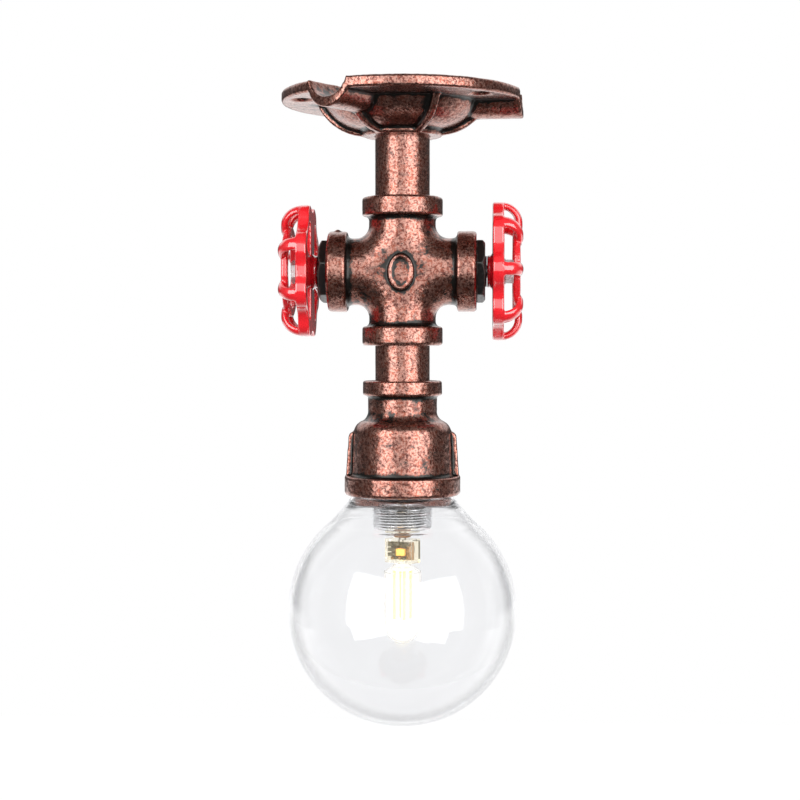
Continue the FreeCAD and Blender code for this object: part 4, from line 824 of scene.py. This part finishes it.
# name, azimuth and elevation in degrees, width and height in metres, watts
SOFTBOXES = (
    ("left_softbox", -39, 15, 1.07, 1.45, 22.0),
    ("right_softbox", 38, 11, 1.48, 1.45, 29.0),
    ("front_fill", -2, 16, 0.75, 1.45, 6.0),
)


def seen_plainly(tree, mirrored):
    """The plain level to the camera, also through glass, less inside glass, and else mirrored."""
    rays = put(tree, "ShaderNodeLightPath", {})
    inside = calc(tree, "GREATER_THAN", rays.outputs["Transmission Depth"], 0.5)
    clear = calc(tree, "MAXIMUM", rays.outputs["Is Camera Ray"], rays.outputs["Is Transmission Ray"])
    level = mirrored
    for share, shown in ((inside, INSIDE_GLASS * PLAIN), (clear, PLAIN)):
        made = put(tree, "ShaderNodeMix", {"Factor": share, "A": level, "B": shown}, data_type="FLOAT")
        level = made.outputs["Result"]
    return level


def make_floor():
    """Pale floor far below, lit behind the light and dim where the fitting's front mirrors it."""
    mesh = bpy.data.meshes.new("floor")
    signs = ((-1, -1), (1, -1), (1, 1), (-1, 1))
    corners = [(x * FLOOR_HALF, y * FLOOR_HALF, FLOOR_LEVEL) for x, y in signs]
    mesh.from_pydata(corners, [], [(0, 1, 2, 3)])
    material, tree, shader = new_material("pale_floor")
    parts = put(tree, "ShaderNodeSeparateXYZ", {"Vector": own_place(tree)})
    level = spread(tree, parts.outputs["Y"], -0.1, 0.8, *FLOOR_LEVELS)
    feed_all(tree, shader, {
        "Base Color": FLOOR_GREY, "Roughness": 1.0, "Emission Color": (1, 1, 1),
        "Emission Strength": seen_plainly(tree, level)})
    mesh.materials.append(material)
    floor = bpy.data.objects.new("floor", mesh)
    bpy.context.scene.collection.objects.link(floor)


def softbox(name, azimuth, elevation, wide, tall, power):
    """A rectangular light that faces the globe."""
    data = bpy.data.lights.new(name, "AREA")
    data.shape = "RECTANGLE"
    data.size = wide
    data.size_y = tall
    data.energy = power
    lamp = bpy.data.objects.new(name, data)
    bpy.context.scene.collection.objects.link(lamp)
    out = beside(math.radians(azimuth), math.radians(elevation))
    lamp.location = LIGHT_AIM + out * LIGHT_DISTANCE
    lamp.rotation_euler = (-out).to_track_quat("-Z", "Y").to_euler()
    lamp.visible_camera = False


def make_air():
    """White to the camera; dim to what mirrors it, but bright behind, high up and low down."""
    world = bpy.data.worlds.new("studio")
    bpy.context.scene.world = world
    world.use_nodes = True
    tree = world.node_tree
    tree.nodes.clear()
    way = put(tree, "ShaderNodeTexCoord", {}).outputs["Generated"]
    parts = put(tree, "ShaderNodeSeparateXYZ", {"Vector": way})
    behind = spread(tree, parts.outputs["Y"], 0.15, 0.6)
    high = spread(tree, parts.outputs["Z"], 0.14, 0.34, 0.0, HIGH_BEHIND)
    low = spread(tree, parts.outputs["Z"], -0.16, -0.06, LOW_BEHIND, 0.0)
    beyond = calc(tree, "MULTIPLY", behind, calc(tree, "ADD", high, low))
    even = spread(tree, parts.outputs["Y"], -0.3, 0.6, *AIR_LEVELS)
    level = seen_plainly(tree, calc(tree, "ADD", beyond, even))
    back = put(tree, "ShaderNodeBackground", {"Color": (1, 1, 1), "Strength": level})
    out = put(tree, "ShaderNodeOutputWorld", {})
    tree.links.new(back.outputs["Background"], out.inputs["Surface"])


make_floor()
make_air()
for row in SOFTBOXES:
    softbox(*row)
bpy.context.scene.view_settings.view_transform = "Standard"
